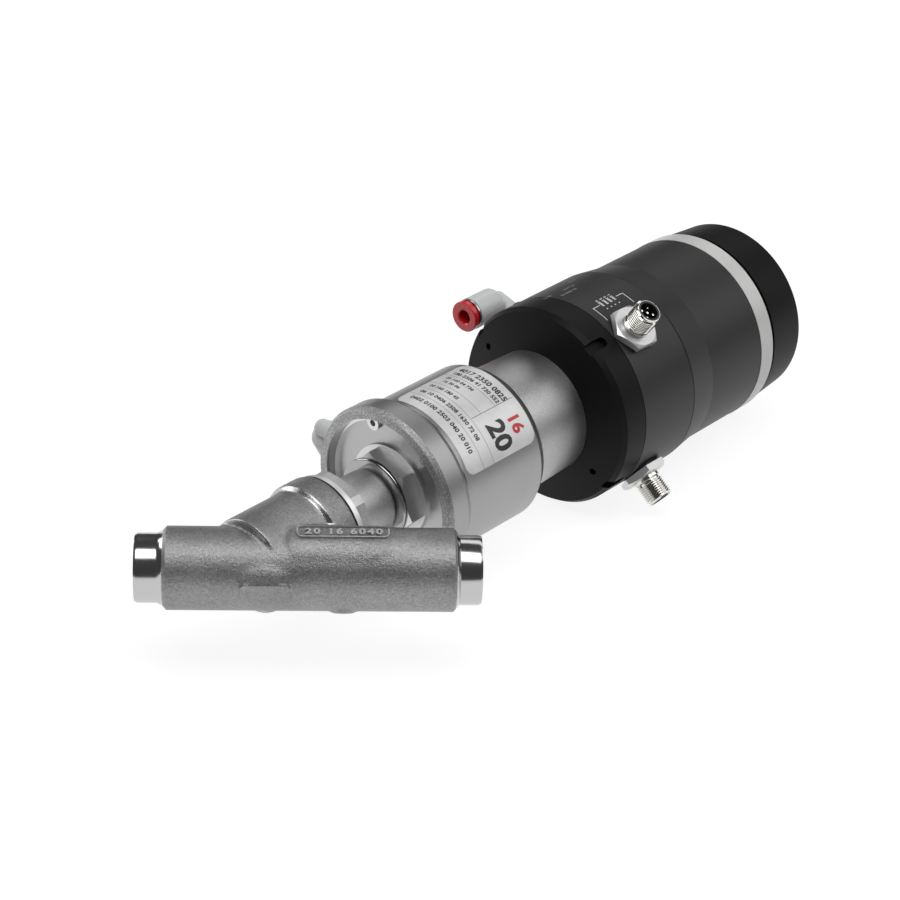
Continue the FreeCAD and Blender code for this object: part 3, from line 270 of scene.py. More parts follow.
class Finish:
    """A material under construction round one Principled shader."""

    def __init__(self, name, colour, metallic=0.0, roughness=0.5, **constants):
        self.material = bpy.data.materials.new(name)
        self.material.use_nodes = True
        self.material.diffuse_color = (*colour, 1)
        self.tree = self.material.node_tree
        self.shader = self.tree.nodes["Principled BSDF"]
        self.set("Base Color", (*colour, 1))
        self.set("Metallic", metallic)
        self.set("Roughness", roughness)
        for key, value in constants.items():
            self.set(key.replace("_", " "), value)

    def set(self, socket, value):
        """Give a shader socket a number, a colour or a wire."""
        if isinstance(value, Wire):
            self.tree.links.new(value.socket, self.shader.inputs[socket])
        else:
            self.shader.inputs[socket].default_value = value

    def node(self, kind, settings=None, *inputs, out=0, **named):
        """Add a node: settings first, then its sockets in order or by name."""
        node = self.tree.nodes.new(kind)
        for key, value in (settings or {}).items():
            setattr(node, key, value)
        sockets = list(zip(node.inputs, inputs))
        sockets += [(node.inputs[key], value) for key, value in named.items()]
        for socket, value in sockets:
            if isinstance(value, Wire):
                self.tree.links.new(value.socket, socket)
            else:
                socket.default_value = value
        return Wire(self, node.outputs[out])

    def place(self):
        """The point on the object, in millimetres."""
        point = self.node("ShaderNodeTexCoord", None, out="Object")
        return self.node("ShaderNodeVectorMath", {"operation": "SCALE"}, point, Scale=1000.0)

    def dot(self, point, other):
        """The dot product of a point with a direction or with another point."""
        second = other if isinstance(other, Wire) else tuple(other)
        kind = {"operation": "DOT_PRODUCT"}
        return self.node("ShaderNodeVectorMath", kind, point, second, out="Value")

    def grain(self, point, scale, detail=2.0, rough=0.5):
        """Noise about its middle, from -0.5 to 0.5; scale counts per millimetre."""
        looks = {"Scale": scale, "Detail": detail, "Roughness": rough}
        return self.node("ShaderNodeTexNoise", None, Vector=point, **looks) - 0.5

    def blend(self, mask, low, high):
        """A colour between two, by a mask."""
        node = self.node("ShaderNodeMix", {"data_type": "RGBA"}, mask).socket.node
        for socket, value in ((node.inputs[6], low), (node.inputs[7], high)):
            if isinstance(value, Wire):
                self.tree.links.new(value.socket, socket)
            else:
                socket.default_value = (*value, 1)
        return Wire(self, node.outputs[2])

    def bump(self, height, depth):
        """Raise the surface by a height field of 0 to 1 times a depth in millimetres."""
        made = self.node("ShaderNodeBump", None, Height=height, Distance=depth * MM, Strength=1.0)
        self.set("Normal", made)

    def stem_place(self, point, turned=False):
        """Station and radius of a point in millimetres; with turned, its angle in degrees too."""
        foot = tuple(STEM_FOOT / MM)
        shifted = self.node("ShaderNodeVectorMath", {"operation": "SUBTRACT"}, point, foot)
        station = self.dot(shifted, STEM)
        radius = (self.dot(shifted, shifted) - station * station).math("SQRT")
        if not turned:
            return station, radius
        turn = self.dot(shifted, UP).math("ARCTAN2", self.dot(shifted, SIDE)) * math.degrees(1)
        return station, radius, turn


def dress(finish, *nodes):
    """Give one finish to CAD nodes."""
    for name in nodes:
        mesh = frame["nodes"][name].data
        mesh.materials.clear()
        mesh.materials.append(finish.material)
    print(finish.material.name, "on", len(nodes), "nodes")


print("helpers ready, materials so far:", len(bpy.data.materials))

# %% [markdown]
# ## Blasted casting
# The body is cast stainless steel, blasted with fine beads: a dull grey with a pebbled
# surface, two or three grains to the millimetre. Machining has cut bright rings into it: the
# weld stubs, the bevel below the collar, and the face at the foot of the branch. One finish
# holds both, with a mask made from the place along the pipe, the place along the stem and
# the distance from the pipe. Noise in Object coordinates makes the grain, because it needs
# no unwrapping and keeps its size on every face. The bonnet and the neck share a plainer
# cast finish, and the bonnet has one turned ring, where it sits on the collar.

# %% Casting finish


TURNED_GREY = (0.85, 0.85, 0.85)
BONNET_TURNED = (41.6, 44.3)
BONNET_RIM_REACH = (20.0, 20.2)


def casting_finish(name, colour, pebble, roughness, turned=None):
    """Blasted cast steel; turned gives two stations between which the rim is turned."""
    made = Finish(name, colour, 1.0, roughness)
    point = made.place()
    coarse = made.grain(point, 1.3, 3.0, 0.6)
    fine = made.grain(point, 3.2, 2.0, 0.6)
    cloud = made.grain(point, 0.06, 2.0)
    height = coarse * 0.6 + fine * 0.5
    made.set("Roughness", roughness + cloud * 0.12 + fine * 0.2)
    shade = (cloud * 0.5 + fine * 1.2 + coarse * 0.6 + 0.5).step(0.0, 1.0)
    dark = tuple(c * 0.72 for c in colour)
    bright = tuple(min(1.0, c * 1.3) for c in colour)
    tone = made.blend(shade, dark, bright)
    if turned:
        station, radius = made.stem_place(point)
        mask = station.band(*turned, 0.05) * radius.step(*BONNET_RIM_REACH)
        tone = made.blend(mask, tone, TURNED_GREY)
        height = height - height * mask * 0.8
    made.set("Base Color", tone)
    made.bump(height, pebble)
    return made


INLET_TURNED = (10.9, 10.6)
OUTLET_TURNED = (121.6, 121.9)
COLLAR_BEVEL = (29.25, 30.95)
COLLAR_BEVEL_REACH = (19.0, 21.9)
BRANCH_FOOT = (0.3, 2.0)
OUTSIDE_THE_RUN = (16.5, 16.9)
CAST_DARK = (0.19, 0.19, 0.19)
CAST_BRIGHT = (0.42, 0.42, 0.42)
MACHINED_GREY = (0.52, 0.52, 0.52)


def body_finish():
    """The cast body with its machined rings."""
    made = Finish("body_steel", (0.40, 0.40, 0.39), 1.0, 0.4)
    point = made.place()
    along, across, height = (made.dot(point, axis) for axis in ((1, 0, 0), (0, 1, 0), (0, 0, 1)))
    run_radius = (across * across + height * height).math("SQRT")
    station, radius = made.stem_place(point)
    turned = along.step(*INLET_TURNED) + along.step(*OUTLET_TURNED)
    bevel = station.band(*COLLAR_BEVEL, 0.08) * radius.band(*COLLAR_BEVEL_REACH, 0.1)
    foot = station.band(*BRANCH_FOOT, 0.2) * run_radius.step(*OUTSIDE_THE_RUN)
    machined = (turned + bevel * 0.7 + foot * 0.6).math("MINIMUM", 1.0)
    coarse = made.grain(point, 0.9, 3.0, 0.6)
    fine = made.grain(point, 2.4, 2.0, 0.6)
    cloud = made.grain(point, 0.06, 2.0)
    lathe = (along * 9.0).math("SINE") * 0.5
    cast = 1 - machined
    made.set("Roughness", cast * (0.45 + cloud * 0.1 + fine * 0.2) + machined * 0.16)
    shade = (cloud * 0.5 + fine * 1.2 + coarse * 0.8 + 0.5).step(0.0, 1.0)
    rough_colour = made.blend(shade, CAST_DARK, CAST_BRIGHT)
    made.set("Base Color", made.blend(machined, rough_colour, MACHINED_GREY))
    made.bump(cast * (coarse * 0.7 + fine * 0.5) + machined * lathe * 0.01, 0.30)
    return made


dress(body_finish(), "valve_body")
dress(casting_finish("bonnet_steel", (0.60, 0.60, 0.60), 0.16, 0.46, BONNET_TURNED), "bonnet")
# Painted highlight: the plate's raised outline and figures get a lighter steel than the body, for
# the light that catches their raised edges.
plate_steel_painted_highlight = casting_finish("plate_steel_painted_highlight", (0.50, 0.50, 0.50), 0.05, 0.36)
dress(casting_finish("neck_steel", (0.46, 0.46, 0.46), 0.10, 0.40), "mounting_neck")

# %% [markdown]
# ## Turned and polished steel
# The cylinder is turned from bar: satin, with rings too fine to count. Its front bevel was
# left blasted, and the recess behind it is polished, as is the nose of the hub nut; both
# polished zones also get a darker colour, a painted dark reflection. The bottom cover, the
# hub nut and the circlip are brighter. Turning marks run round the stem, so their height
# depends on the station, or on the radius on a flat face: a noise with one dimension, fed
# with the sum of the two, draws them on both kinds of face.

# %% Turned finish


PEBBLE_GREY = (0.7, 0.7, 0.7)
FRONT_BEVEL = (75.2, 77.5)
RECESS = (76.0, 90.0, 34.0)
HUB_NOSE = (60.0, 71.2, 18.0)


def turned_finish(name, colour, roughness, marks, grain=0.3, blasted=None, polish_and_painted_reflection=None):
    """Steel from the lathe.

    Blasted gives two stations; the polished zone gets two stations and the radius inside which it
    holds, and there the colour is darkened, a painted dark reflection.
    """
    made = Finish(name, colour, 1.0, roughness)
    point = made.place()
    station, radius = made.stem_place(point)
    line = {"noise_dimensions": "1D"}
    rings = made.node("ShaderNodeTexNoise", line, W=(station + radius) * 3.0, Detail=3.0) - 0.5
    fine = made.grain(point, 2.4, 2.0, 0.6)
    cloud = made.grain(point, 0.05, 2.0)
    height = rings * (1.0 - grain) + fine * grain
    level = roughness + cloud * 0.10 + rings * 0.12
    shade = (cloud * 0.6 + rings * 0.7 + 0.5).step(0.0, 1.0)
    dark = tuple(c * 0.88 for c in colour)
    bright = tuple(min(1.0, c * 1.1) for c in colour)
    tone = made.blend(shade, dark, bright)
    if blasted:
        pebbles = made.grain(point, 1.7, 3.0, 0.65)
        mask = station.band(*blasted, 0.1)
        height = (1 - mask) * height + mask * pebbles * 5.0
        level = level - mask * 0.06
        speckle = (pebbles + 0.5).step(0.45, 0.75)
        rough_tone = made.blend(speckle, tuple(c * 0.75 for c in colour), PEBBLE_GREY)
        tone = made.blend(mask, tone, rough_tone)
    if polish_and_painted_reflection:
        low, high, reach = polish_and_painted_reflection
        mask = station.band(low, high, 0.05) * radius.step(reach + 0.1, reach - 0.1)
        height = height - height * mask * 0.9
        level = level - mask * (level - 0.1)
        # Painted reflection: the polished zone's colour is halved to show the dark reflections of
        # a mirror finish.
        tone = made.blend(mask, tone, tuple(c * 0.5 for c in colour))
    made.set("Roughness", level)
    made.set("Base Color", tone)
    made.bump(height, marks)
    return made


dress(turned_finish("cylinder_steel", (0.36, 0.36, 0.36), 0.36, 0.06, 0.8, FRONT_BEVEL, RECESS),
      "actuator_housing")
dress(turned_finish("cover_steel", (0.44, 0.44, 0.44), 0.28, 0.008, 0.1), "bottom_cover")
dress(turned_finish("hub_steel", (0.74, 0.74, 0.74), 0.42, 0.03, 0.8, polish_and_painted_reflection=HUB_NOSE),
      "hub_nut", "piston_nut")
dress(turned_finish("circlip_steel", (0.66, 0.66, 0.66), 0.15, 0.004, 0.1), "circlip")
dress(turned_finish("stem_steel", (0.62, 0.62, 0.62), 0.14, 0.004, 0.1),
      "spindle", "control_plug", "control_cone", "seat_ring", "target_rod")
dress(turned_finish("spring_steel", (0.35, 0.35, 0.36), 0.3, 0.01),
      "packing_spring", "actuator_spring")
dress(turned_finish("bare_aluminium", (0.70, 0.70, 0.71), 0.3, 0.01),
      "piston", "valve_block", "gland_bush", "cover_spigot")
dress(turned_finish("nickel", (0.60, 0.60, 0.60), 0.24, 0.004, 0.2),
      "connector_shell_1", "connector_shell_2", "supply_elbow_grip_cap", "actuator_elbow_grip_cap")
dress(turned_finish("nut_nickel", (0.72, 0.72, 0.72), 0.42, 0.006, 0.4),
      "connector_nut_1", "connector_nut_2")

# %% [markdown]
# ## Plastics and rubber
# The positioner is moulded in black with a very fine spark texture, so it looks dry from the
# front and grey where light grazes it. Its base and end cap are given a deeper black than the
# case and the cover, which catch more light: that darker black is painted shade for their
# shaded front face, and the two blacks also differ in how much they mirror. The light ring
# is milky, the elbows are pale grey with glossy red collets, and the contacts are silvered.
# One recipe serves them all: an even colour, sparks and a cloud.

# %% Plastic finishes


def plastic_finish(name, colour, roughness, spark=0.01, scale=3.0, spread=0.15, **constants):
    """Moulded plastic: an even colour with fine sparks and a faint cloud."""
    made = Finish(name, colour, 0.0, roughness, **constants)
    point = made.place()
    fine = made.grain(point, scale, 2.0, 0.6)
    cloud = made.grain(point, 0.05, 3.0)
    made.set("Roughness", roughness + cloud * 0.08 + fine * 0.1)
    shade = (cloud + fine * 0.5 + 0.5).step(0.0, 1.0)
    low = tuple(c * (1 - spread) for c in colour)
    high = tuple(min(1.0, c * (1 + spread)) for c in colour)
    made.set("Base Color", made.blend(shade, low, high))
    made.bump(fine, spark)
    return made


# Painted shade: the base and end cap get a darker copy of the case black, for the shade on their
# front face; their weaker mirror is the material's own.
base_black_painted_shade = plastic_finish(
    "base_black_painted_shade", (0.006, 0.006, 0.006), 0.46, 0.01, 4.0, Specular_IOR_Level=0.13)
dress(base_black_painted_shade, "positioner_base", "end_cap")
case_black = plastic_finish(
    "case_black", (0.017, 0.017, 0.017), 0.46, 0.012, 4.0, Specular_IOR_Level=0.44)
dress(case_black, "positioner_case", "cover")
dress(plastic_finish("insert_black", (0.012, 0.012, 0.012), 0.35, 0.004),
      "connector_insert_1", "connector_insert_2", "supply_elbow_stud", "actuator_elbow_stud",
      "pilot_coils", "position_sensor", "end_bush", "position_target")
dress(plastic_finish("light_ring_milk", (0.60, 0.60, 0.59), 0.3, 0.002, 2.0, 0.03), "light_ring")
dress(plastic_finish("elbow_grey", (0.62, 0.63, 0.63), 0.34, 0.004, 2.0, 0.05),
      "supply_elbow_body", "actuator_elbow_body")
dress(plastic_finish("collet_red", (0.62, 0.012, 0.02), 0.28, 0.003, 2.0, 0.08, Coat_Weight=0.3),
      "supply_elbow_collet", "actuator_elbow_collet")
dress(plastic_finish("seal_black", (0.012, 0.012, 0.012), 0.6, 0.006),
      "bonnet_gasket", "rod_seal", "wiper_ring", "bottom_cover_seal", "piston_seal",
      "case_gasket", "cover_seal", "connector_seal_1", "connector_seal_2",
      "supply_elbow_washer", "actuator_elbow_washer")
dress(plastic_finish("seal_white", (0.82, 0.82, 0.79), 0.4, 0.004),
      "packing_rings", "plug_seal", "piston_guide_ring")
dress(plastic_finish("board_green", (0.02, 0.16, 0.06), 0.4, 0.004), "control_board")
contact = Finish("contact_silver", (0.86, 0.85, 0.82), 1.0, 0.25)
wear = contact.grain(contact.place(), 4.0)
contact.set("Roughness", 0.2 + wear * 0.2)
dress(contact, "connector_pins_1", "connector_pins_2")

# %% [markdown]
# ## The cast body
# On the real valve the body comes out of a ceramic mould, so no edge of the casting is sharp,
# and only the machined ends are. The CAD solid has the true faces but crisp seams. A voxel
# remesh turns a copy of it into one even skin, a smooth modifier rounds that skin as a
# casting is rounded. The weld stubs are machined, and the flat facet on the front has a
# clear edge, so the crisp faces of both are cut from further copies and joined to the skin.
# This way is shorter than a fillet on every seam, and it softens seams that no fillet could
# follow.

# %% Cast body


def only(piece):
    """Make one object the selected and active one."""
    bpy.ops.object.select_all(action="DESELECT")
    piece.select_set(True)
    bpy.context.view_layer.objects.active = piece


def joined_copy(node, name):
    """A copy of a CAD node with its loose triangles joined into one skin."""
    piece = frame["nodes"][node].copy()
    piece.data = piece.data.copy()
    piece.name = name
    piece.data.name = name
    bpy.context.scene.collection.objects.link(piece)
    only(piece)
    bpy.ops.mesh.customdata_custom_splitnormals_clear()
    bpy.ops.object.mode_set(mode="EDIT")
    bpy.ops.mesh.select_all(action="SELECT")
    bpy.ops.mesh.remove_doubles(threshold=0.005 * MM)
    bpy.ops.mesh.normals_make_consistent(inside=False)
    bpy.ops.object.mode_set(mode="OBJECT")
    return piece


def cut_off(piece, *cuts):
    """Cut a piece with planes, each told by a place and the direction that stays."""
    only(piece)
    bpy.ops.object.mode_set(mode="EDIT")
    for place, kept in cuts:
        bpy.ops.mesh.select_all(action="SELECT")
        bpy.ops.mesh.bisect(plane_co=Vector(place) * MM, plane_no=kept, clear_inner=True)
    bpy.ops.object.mode_set(mode="OBJECT")


def keep_between(piece, low, high):
    """Cut a piece off square to the pipe, outside two places along it."""
    cut_off(piece, ((low, 0, 0), (1, 0, 0)), ((high, 0, 0), (-1, 0, 0)))


CAST_FROM = 13.6
CAST_TO = 118.6
FAR = 400
SKIN_GRAIN = 0.62
FACET_FROM = 39.4
FACET_TO = 59.6
FACET_BACK = -14.5
FACET_LOW = -4.0
FACET_HIGH = 4.3
FACET_PROUD = 0.12
casting = joined_copy("valve_body", "cast_body")
remesh = casting.modifiers.new("even_skin", "REMESH")
remesh.mode = "VOXEL"
remesh.voxel_size = SKIN_GRAIN * MM
bpy.ops.object.modifier_apply(modifier=remesh.name)
soften = casting.modifiers.new("cast_edges", "SMOOTH")
soften.factor = 0.5
soften.iterations = 8
bpy.ops.object.modifier_apply(modifier=soften.name)
keep_between(casting, CAST_FROM, CAST_TO)
facet = joined_copy("valve_body", "front_facet")
keep_between(facet, FACET_FROM, FACET_TO)
cut_off(facet, ((0, FACET_BACK, 0), (0, -1, 0)),
        ((0, 0, FACET_LOW), (0, 0, 1)), ((0, 0, FACET_HIGH), (0, 0, -1)))
bpy.ops.object.mode_set(mode="EDIT")
bpy.ops.mesh.select_all(action="SELECT")
bpy.ops.transform.translate(value=(0, -FACET_PROUD * MM, 0))
bpy.ops.object.mode_set(mode="OBJECT")
inlet = joined_copy("valve_body", "inlet_stub")
keep_between(inlet, -FAR, CAST_FROM)
outlet = joined_copy("valve_body", "outlet_stub")
keep_between(outlet, CAST_TO, FAR)
only(casting)
for piece in (facet, inlet, outlet):
    piece.select_set(True)
bpy.ops.object.join()
only(casting)
bpy.ops.object.shade_smooth_by_angle(angle=math.radians(32))
casting.data.materials.clear()
casting.data.materials.append(bpy.data.materials["body_steel"])
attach(casting, "base")
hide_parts("valve_body")
print("cast body:", len(casting.data.polygons), "faces")

# %% [markdown]
# ## Plain digits and the plate
# The plate on the run has a raised outline with raised figures on it, cast in one with the
# body, and the sticker and the positioner case carry print. None of it is copied: plain
# digits stand in for it. Digits start as a text object turned into a mesh at the origin. The
# outline is a plane with bevelled corners whose middle an inset takes away. Such a flat piece
# is cut into strips and then either dropped onto the casting by casting rays down, or
# wrapped round the stem, with X running round the cylinder and Y along it. The outline and
# the raised figures are given a lighter steel than the body, a painted highlight for the
# light that catches their raised edges.

# %% Digits and wrapping


def cut_across(piece, width, step=1.0):
    """Cut a flat piece into strips across X, so that it can follow a curve."""
    only(piece)
    bpy.ops.object.mode_set(mode="EDIT")
    count = math.ceil(width / step)
    for number in range(1, count):
        place = (number / count - 0.5) * width * MM
        bpy.ops.mesh.select_all(action="SELECT")
        bpy.ops.mesh.bisect(plane_co=(place, 0, 0), plane_no=(1, 0, 0))
    bpy.ops.object.mode_set(mode="OBJECT")


TALL_DIGITS = 3
TALL_WIDTH = 40


def flat_digits(words, height, thick, name, material, spacing=1.0):
    """Digits as a mesh at the origin: X reads, Y is up, sizes in millimetres.

    Tall ones are cut into strips, so that they follow the surface below them.
    """
    bpy.ops.object.select_all(action="DESELECT")
    bpy.ops.object.text_add()
    text = bpy.context.object
    text.data.body = words
    text.data.align_y = "CENTER"
    text.data.size = height * 1.4 * MM
    text.data.space_character = spacing
    text.data.extrude = thick / 2 * MM
    text.data.offset = height * 0.05 * MM
    text.data.resolution_u = 3
    bpy.ops.object.convert(target="MESH")
    piece = bpy.context.object
    piece.name = name
    if height > TALL_DIGITS:
        cut_across(piece, TALL_WIDTH, 0.8)
    piece.data.materials.clear()
    piece.data.materials.append(material)
    return piece


def flat_bar(x, y, width, height, name, material):
    """A thin flat bar centred on X and Y, in millimetres, cut into short steps."""
    bpy.ops.object.select_all(action="DESELECT")
    bpy.ops.mesh.primitive_plane_add(size=MM)
    piece = bpy.context.object
    piece.name = name
    bpy.ops.transform.resize(value=(width, height, 1))
    bpy.ops.transform.translate(value=(x * MM, y * MM, 0))
    bpy.ops.object.transform_apply()
    bpy.ops.object.mode_set(mode="EDIT")
    bpy.ops.mesh.subdivide(number_cuts=11)
    bpy.ops.object.mode_set(mode="OBJECT")
    piece.data.materials.append(material)
    return piece


def wrap(piece, radius, station=0.0, angle=0.0):
    """Lay a flat piece round the stem, from a station and an angle."""
    for corner in piece.data.vertices:
        x, y, z = corner.co / MM
        corner.co = on_stem(station + y, radius + z, angle + math.degrees(x / radius))
    piece.data.update()
    return piece


def join(name, pieces):
    """Join pieces into the first one and give it a name."""
    only(pieces[0])
    for piece in pieces:
        piece.select_set(True)
    bpy.ops.object.join()
    pieces[0].name = name
    return pieces[0]


def lay_on(piece, target, sink=0.1):
    """Drop a flat piece onto a surface below it, and sink it a little."""
    for corner in piece.data.vertices:
        start = Vector((corner.co.x, corner.co.y, 0.2))
        hit, below, _, _ = target.ray_cast(start, Vector((0, 0, -1)))
        if hit:
            corner.co.z += below.z - sink * MM
    piece.data.update()


def plate_rim(length, width, line, rise):
    """A raised outline: a plane with round corners whose middle is cut out by an inset."""
    bpy.ops.object.select_all(action="DESELECT")
    bpy.ops.mesh.primitive_plane_add(size=MM)
    piece = bpy.context.object
    piece.name = "plate_rim"
    bpy.ops.transform.resize(value=(length, width, 1))
    bpy.ops.object.transform_apply()
    bpy.ops.object.mode_set(mode="EDIT")
    bpy.ops.mesh.select_all(action="SELECT")
    bpy.ops.mesh.bevel(offset=width * 0.3 * MM, segments=6, affect="VERTICES")
    bpy.ops.mesh.select_all(action="SELECT")
    bpy.ops.mesh.inset(thickness=line * MM)
    bpy.ops.mesh.delete(type="FACE")
    bpy.ops.object.mode_set(mode="OBJECT")
    cut_across(piece, length, 2.0)
    thick = piece.modifiers.new("rise", "SOLIDIFY")
    thick.thickness = rise * MM
    thick.offset = 1
    bpy.ops.object.modifier_apply(modifier=thick.name)
    piece.data.materials.append(plate_steel_painted_highlight.material)
    return piece


PLATE_PLACE = (78.6, 0.9, 0)
DIGITS_PLACE = (64.2, 0.4, 0.35)
raised = flat_digits("20 16 6040", 3.7, 0.7, "plate_digits", plate_steel_painted_highlight.material, spacing=1.25)
raised.data.transform(Matrix.Translation(Vector(DIGITS_PLACE) * MM))
outline = plate_rim(length=35.3, width=7.8, line=0.6, rise=0.55)
outline.data.transform(Matrix.Translation(Vector(PLATE_PLACE) * MM))
for piece in (raised, outline):
    lay_on(piece, casting)
    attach(piece, "base")
print("plate:", len(raised.data.polygons) + len(outline.data.polygons), "faces")

# %% [markdown]
# ## The sticker
# A metallised label is stuck round the cylinder, from the back of the top to the front. It is
# a rectangle with rounded corners, printed with thin rules. The outline is a plane with its
# corners bevelled, cut into short steps and wrapped; its own thickness of a tenth of a
# millimetre comes from Solidify. The rules are part of its finish, told by station and angle,
# and the rows of plain digits are thin pieces wrapped just outside the foil.

# %% Sticker
STICKER_RADIUS = 34.06
STICKER_LOW = 91.5
STICKER_HIGH = 132.2
STICKER_START = 72.0
STICKER_END = 154.5
STICKER_LENGTH = STICKER_HIGH - STICKER_LOW
STICKER_ROUND = math.radians(STICKER_END - STICKER_START) * STICKER_RADIUS
PRINT_RADIUS = STICKER_RADIUS + 0.13
SHORT_RULES = (121.0, 112.5)
LONG_RULES = (106.5, 100.5)
RULE_HALF = 0.16
DIVIDER = (120.25, 120.75)
DIVIDER_FROM = (106.9, 107.1)


def ink_finish(name, colour, roughness=0.45):
    """Printing ink: an even colour with a slightly uneven sheen."""
    made = Finish(name, colour, 0.0, roughness)
    made.set("Roughness", roughness + made.grain(made.place(), 3.0) * 0.2)
    return made.material


ink = ink_finish("print_ink", (0.02, 0.02, 0.022))
red_ink = ink_finish("print_red", (0.55, 0.03, 0.04))


def sticker_finish():
    """Pale foil with thin grey rules round it and a divider along the stem."""
    made = Finish("sticker_foil", (0.72, 0.72, 0.72), 0.25, 0.38)
    point = made.place()
    station, _, turn = made.stem_place(point, turned=True)
    before = turn.step(120.5, 120.3)
    short, long = (
        station.band(first - RULE_HALF, first + RULE_HALF, 0.05)
        + station.band(second - RULE_HALF, second + RULE_HALF, 0.05)
        for first, second in (SHORT_RULES, LONG_RULES)
    )
    divider = turn.band(*DIVIDER, 0.08) * station.step(*DIVIDER_FROM)
    margin = station.band(STICKER_LOW + 0.5, STICKER_HIGH - 1.2, 0.05)
    lines = ((short * before + long) * 0.55 + divider * 0.85).math("MINIMUM", 1.0) * margin
    cloud = made.grain(point, 0.12, 2.0)
    paper = made.blend((cloud + 0.5).step(0.2, 0.8), (0.66, 0.66, 0.66), (0.76, 0.76, 0.76))
    made.set("Base Color", made.blend(lines, paper, (0.12, 0.12, 0.13)))
    made.set("Roughness", 0.36 + cloud * 0.1 + lines * 0.1)
    made.bump(made.grain(point, 5.0), 0.004)
    return made


bpy.ops.object.select_all(action="DESELECT")
bpy.ops.mesh.primitive_plane_add(size=MM)
sticker = bpy.context.object
sticker.name = "sticker"
bpy.ops.transform.resize(value=(STICKER_ROUND, STICKER_LENGTH, 1))
bpy.ops.object.transform_apply()
bpy.ops.object.mode_set(mode="EDIT")
bpy.ops.mesh.select_all(action="SELECT")
bpy.ops.mesh.bevel(offset=4 * MM, segments=8, affect="VERTICES")
bpy.ops.object.mode_set(mode="OBJECT")
cut_across(sticker, STICKER_ROUND)
foil = sticker.modifiers.new("foil", "SOLIDIFY")
foil.thickness = 0.1 * MM
foil.offset = 1
bpy.ops.object.modifier_apply(modifier=foil.name)
wrap(sticker, STICKER_RADIUS, (STICKER_LOW + STICKER_HIGH) / 2, (STICKER_START + STICKER_END) / 2)
sticker.data.materials.append(sticker_finish().material)
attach(sticker, "base")

ROWS = (
    # station, height, digits, first angle
    (127.2, 2.7, "4017 2350 0825", 77),
    (123.4, 2.0, "180 2506 41 730 552", 77),
    (118.6, 1.7, "25 160 04 730", 78),
    (115.2, 1.7, "16 30 06", 80),
    (109.4, 1.8, "20 160 180 45", 77),
    (103.4, 2.0, "06 10 0406 2508 1630 72 08", 78),
    (97.0, 2.2, "0402 0100 2503 040 20 010", 79),
)
rows = []
for station, height, words, angle in ROWS:
    row = flat_digits(words, height, 0.0, "row", ink, spacing=1.05)
    rows.append(wrap(row, PRINT_RADIUS, station, angle))
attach(join("sticker_digits", rows), "base")
size_mark = flat_digits("20", 9.0, 0.0, "sticker_size", ink)
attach(wrap(size_mark, PRINT_RADIUS, 114.5, 129), "base")
grade_mark = flat_digits("16", 6.0, 0.0, "sticker_grade", red_ink)
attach(wrap(grade_mark, PRINT_RADIUS, 125.0, 130), "base")
print("sticker:", len(sticker.data.polygons), "faces")

# %% [markdown]
# ## Print on the positioner
# Beside the upper connector a white bracket and four dots show which pin is which, with a
# short row of digits at each dot. Four grey rows run round the case further up. All of it is
# screen printed, so it is made of thin pieces laid on the case: bars for the bracket, discs
# for the dots and plain digits for the rows.

# %% Positioner print
white_ink = ink_finish("print_white", (0.80, 0.80, 0.80), 0.5)
grey_ink = ink_finish("print_grey", (0.22, 0.22, 0.22), 0.5)
CASE_RADIUS = 44.43
DEGREE = math.radians(1) * CASE_RADIUS
DOT_ANGLE = 104.8
PIN_ANGLE = 96.3


def case_bar(station_low, station_high, angle_low, angle_high, line=0.32):
    """A printed line on the case between two corners told by station and angle."""
    x = (angle_low + angle_high) / 2 * DEGREE
    y = (station_low + station_high) / 2
    width = abs(angle_high - angle_low) * DEGREE + line
    height = abs(station_high - station_low) + line
    return wrap(flat_bar(x, y, width, height, "bar", white_ink), CASE_RADIUS)


marks = [
    case_bar(207.6, 211.65, 100.1, 100.1),
    case_bar(211.65, 211.65, 100.1, 108.7),
    case_bar(196.1, 192.05, 100.6, 100.6),
    case_bar(192.05, 192.05, 100.6, 111.1),
]
for number, station in enumerate((205.5, 202.9, 200.3, 197.6), start=1):
    bpy.ops.object.select_all(action="DESELECT")
    bpy.ops.mesh.primitive_circle_add(vertices=20, radius=0.33 * MM, fill_type="NGON")
    dot = bpy.context.object
    dot.data.materials.append(white_ink)
    marks.append(wrap(dot, CASE_RADIUS, station, DOT_ANGLE))
    words = f"{number} 2{number * 3 % 10}0{number}"
    digits = flat_digits(words, 1.2, 0.0, "pin_digits", white_ink)
    marks.append(wrap(digits, CASE_RADIUS, station, PIN_ANGLE))
GREY_ROWS = ((67, 206, "20 16"), (74, 197, "4017 23"), (79, 191, "25 0406 18"), (73, 185, "16 30"))
for angle, station, words in GREY_ROWS:
    digits = flat_digits(words, 1.5, 0.0, "model_digits", grey_ink)
    digits.data.transform(Matrix.Rotation(math.radians(90), 4, "Z"))
    marks.append(wrap(digits, CASE_RADIUS, station, angle))
bracket = join("case_print", marks)
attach(bracket, "base")
print("case print:", len(bracket.data.polygons), "faces")

# %% [markdown]
# ## Connector threads
# The round connectors have a 12 mm thread with a pitch of one millimetre. A thread is one
# tooth swept along a helix: the Screw modifier does just that with a four point profile. The
# plain sleeve under it and the lip at the mouth are one profile turned right round, and so
# is the black rim inside the mouth, which stands round the contacts. CAD keeps the plain
# 12 mm cylinder, which is the size that a cable plug meets.

# %% Threaded shells
SHELL_PLACE = 198.6
SHELL_ROOT = 38.4
SHELL_MOUTH = 59.4
NUT_TOP = 48.0
BORE = 4.35
LINER = 3.95
INSERT_FACE = 51.5
BODY = 5.4
CREST = 5.97
ROOT = 5.25
PITCH = 1.0
TURNS = 8
THREAD_START = 50.2
SINK = 0.02
MERGE = 0.002 * MM


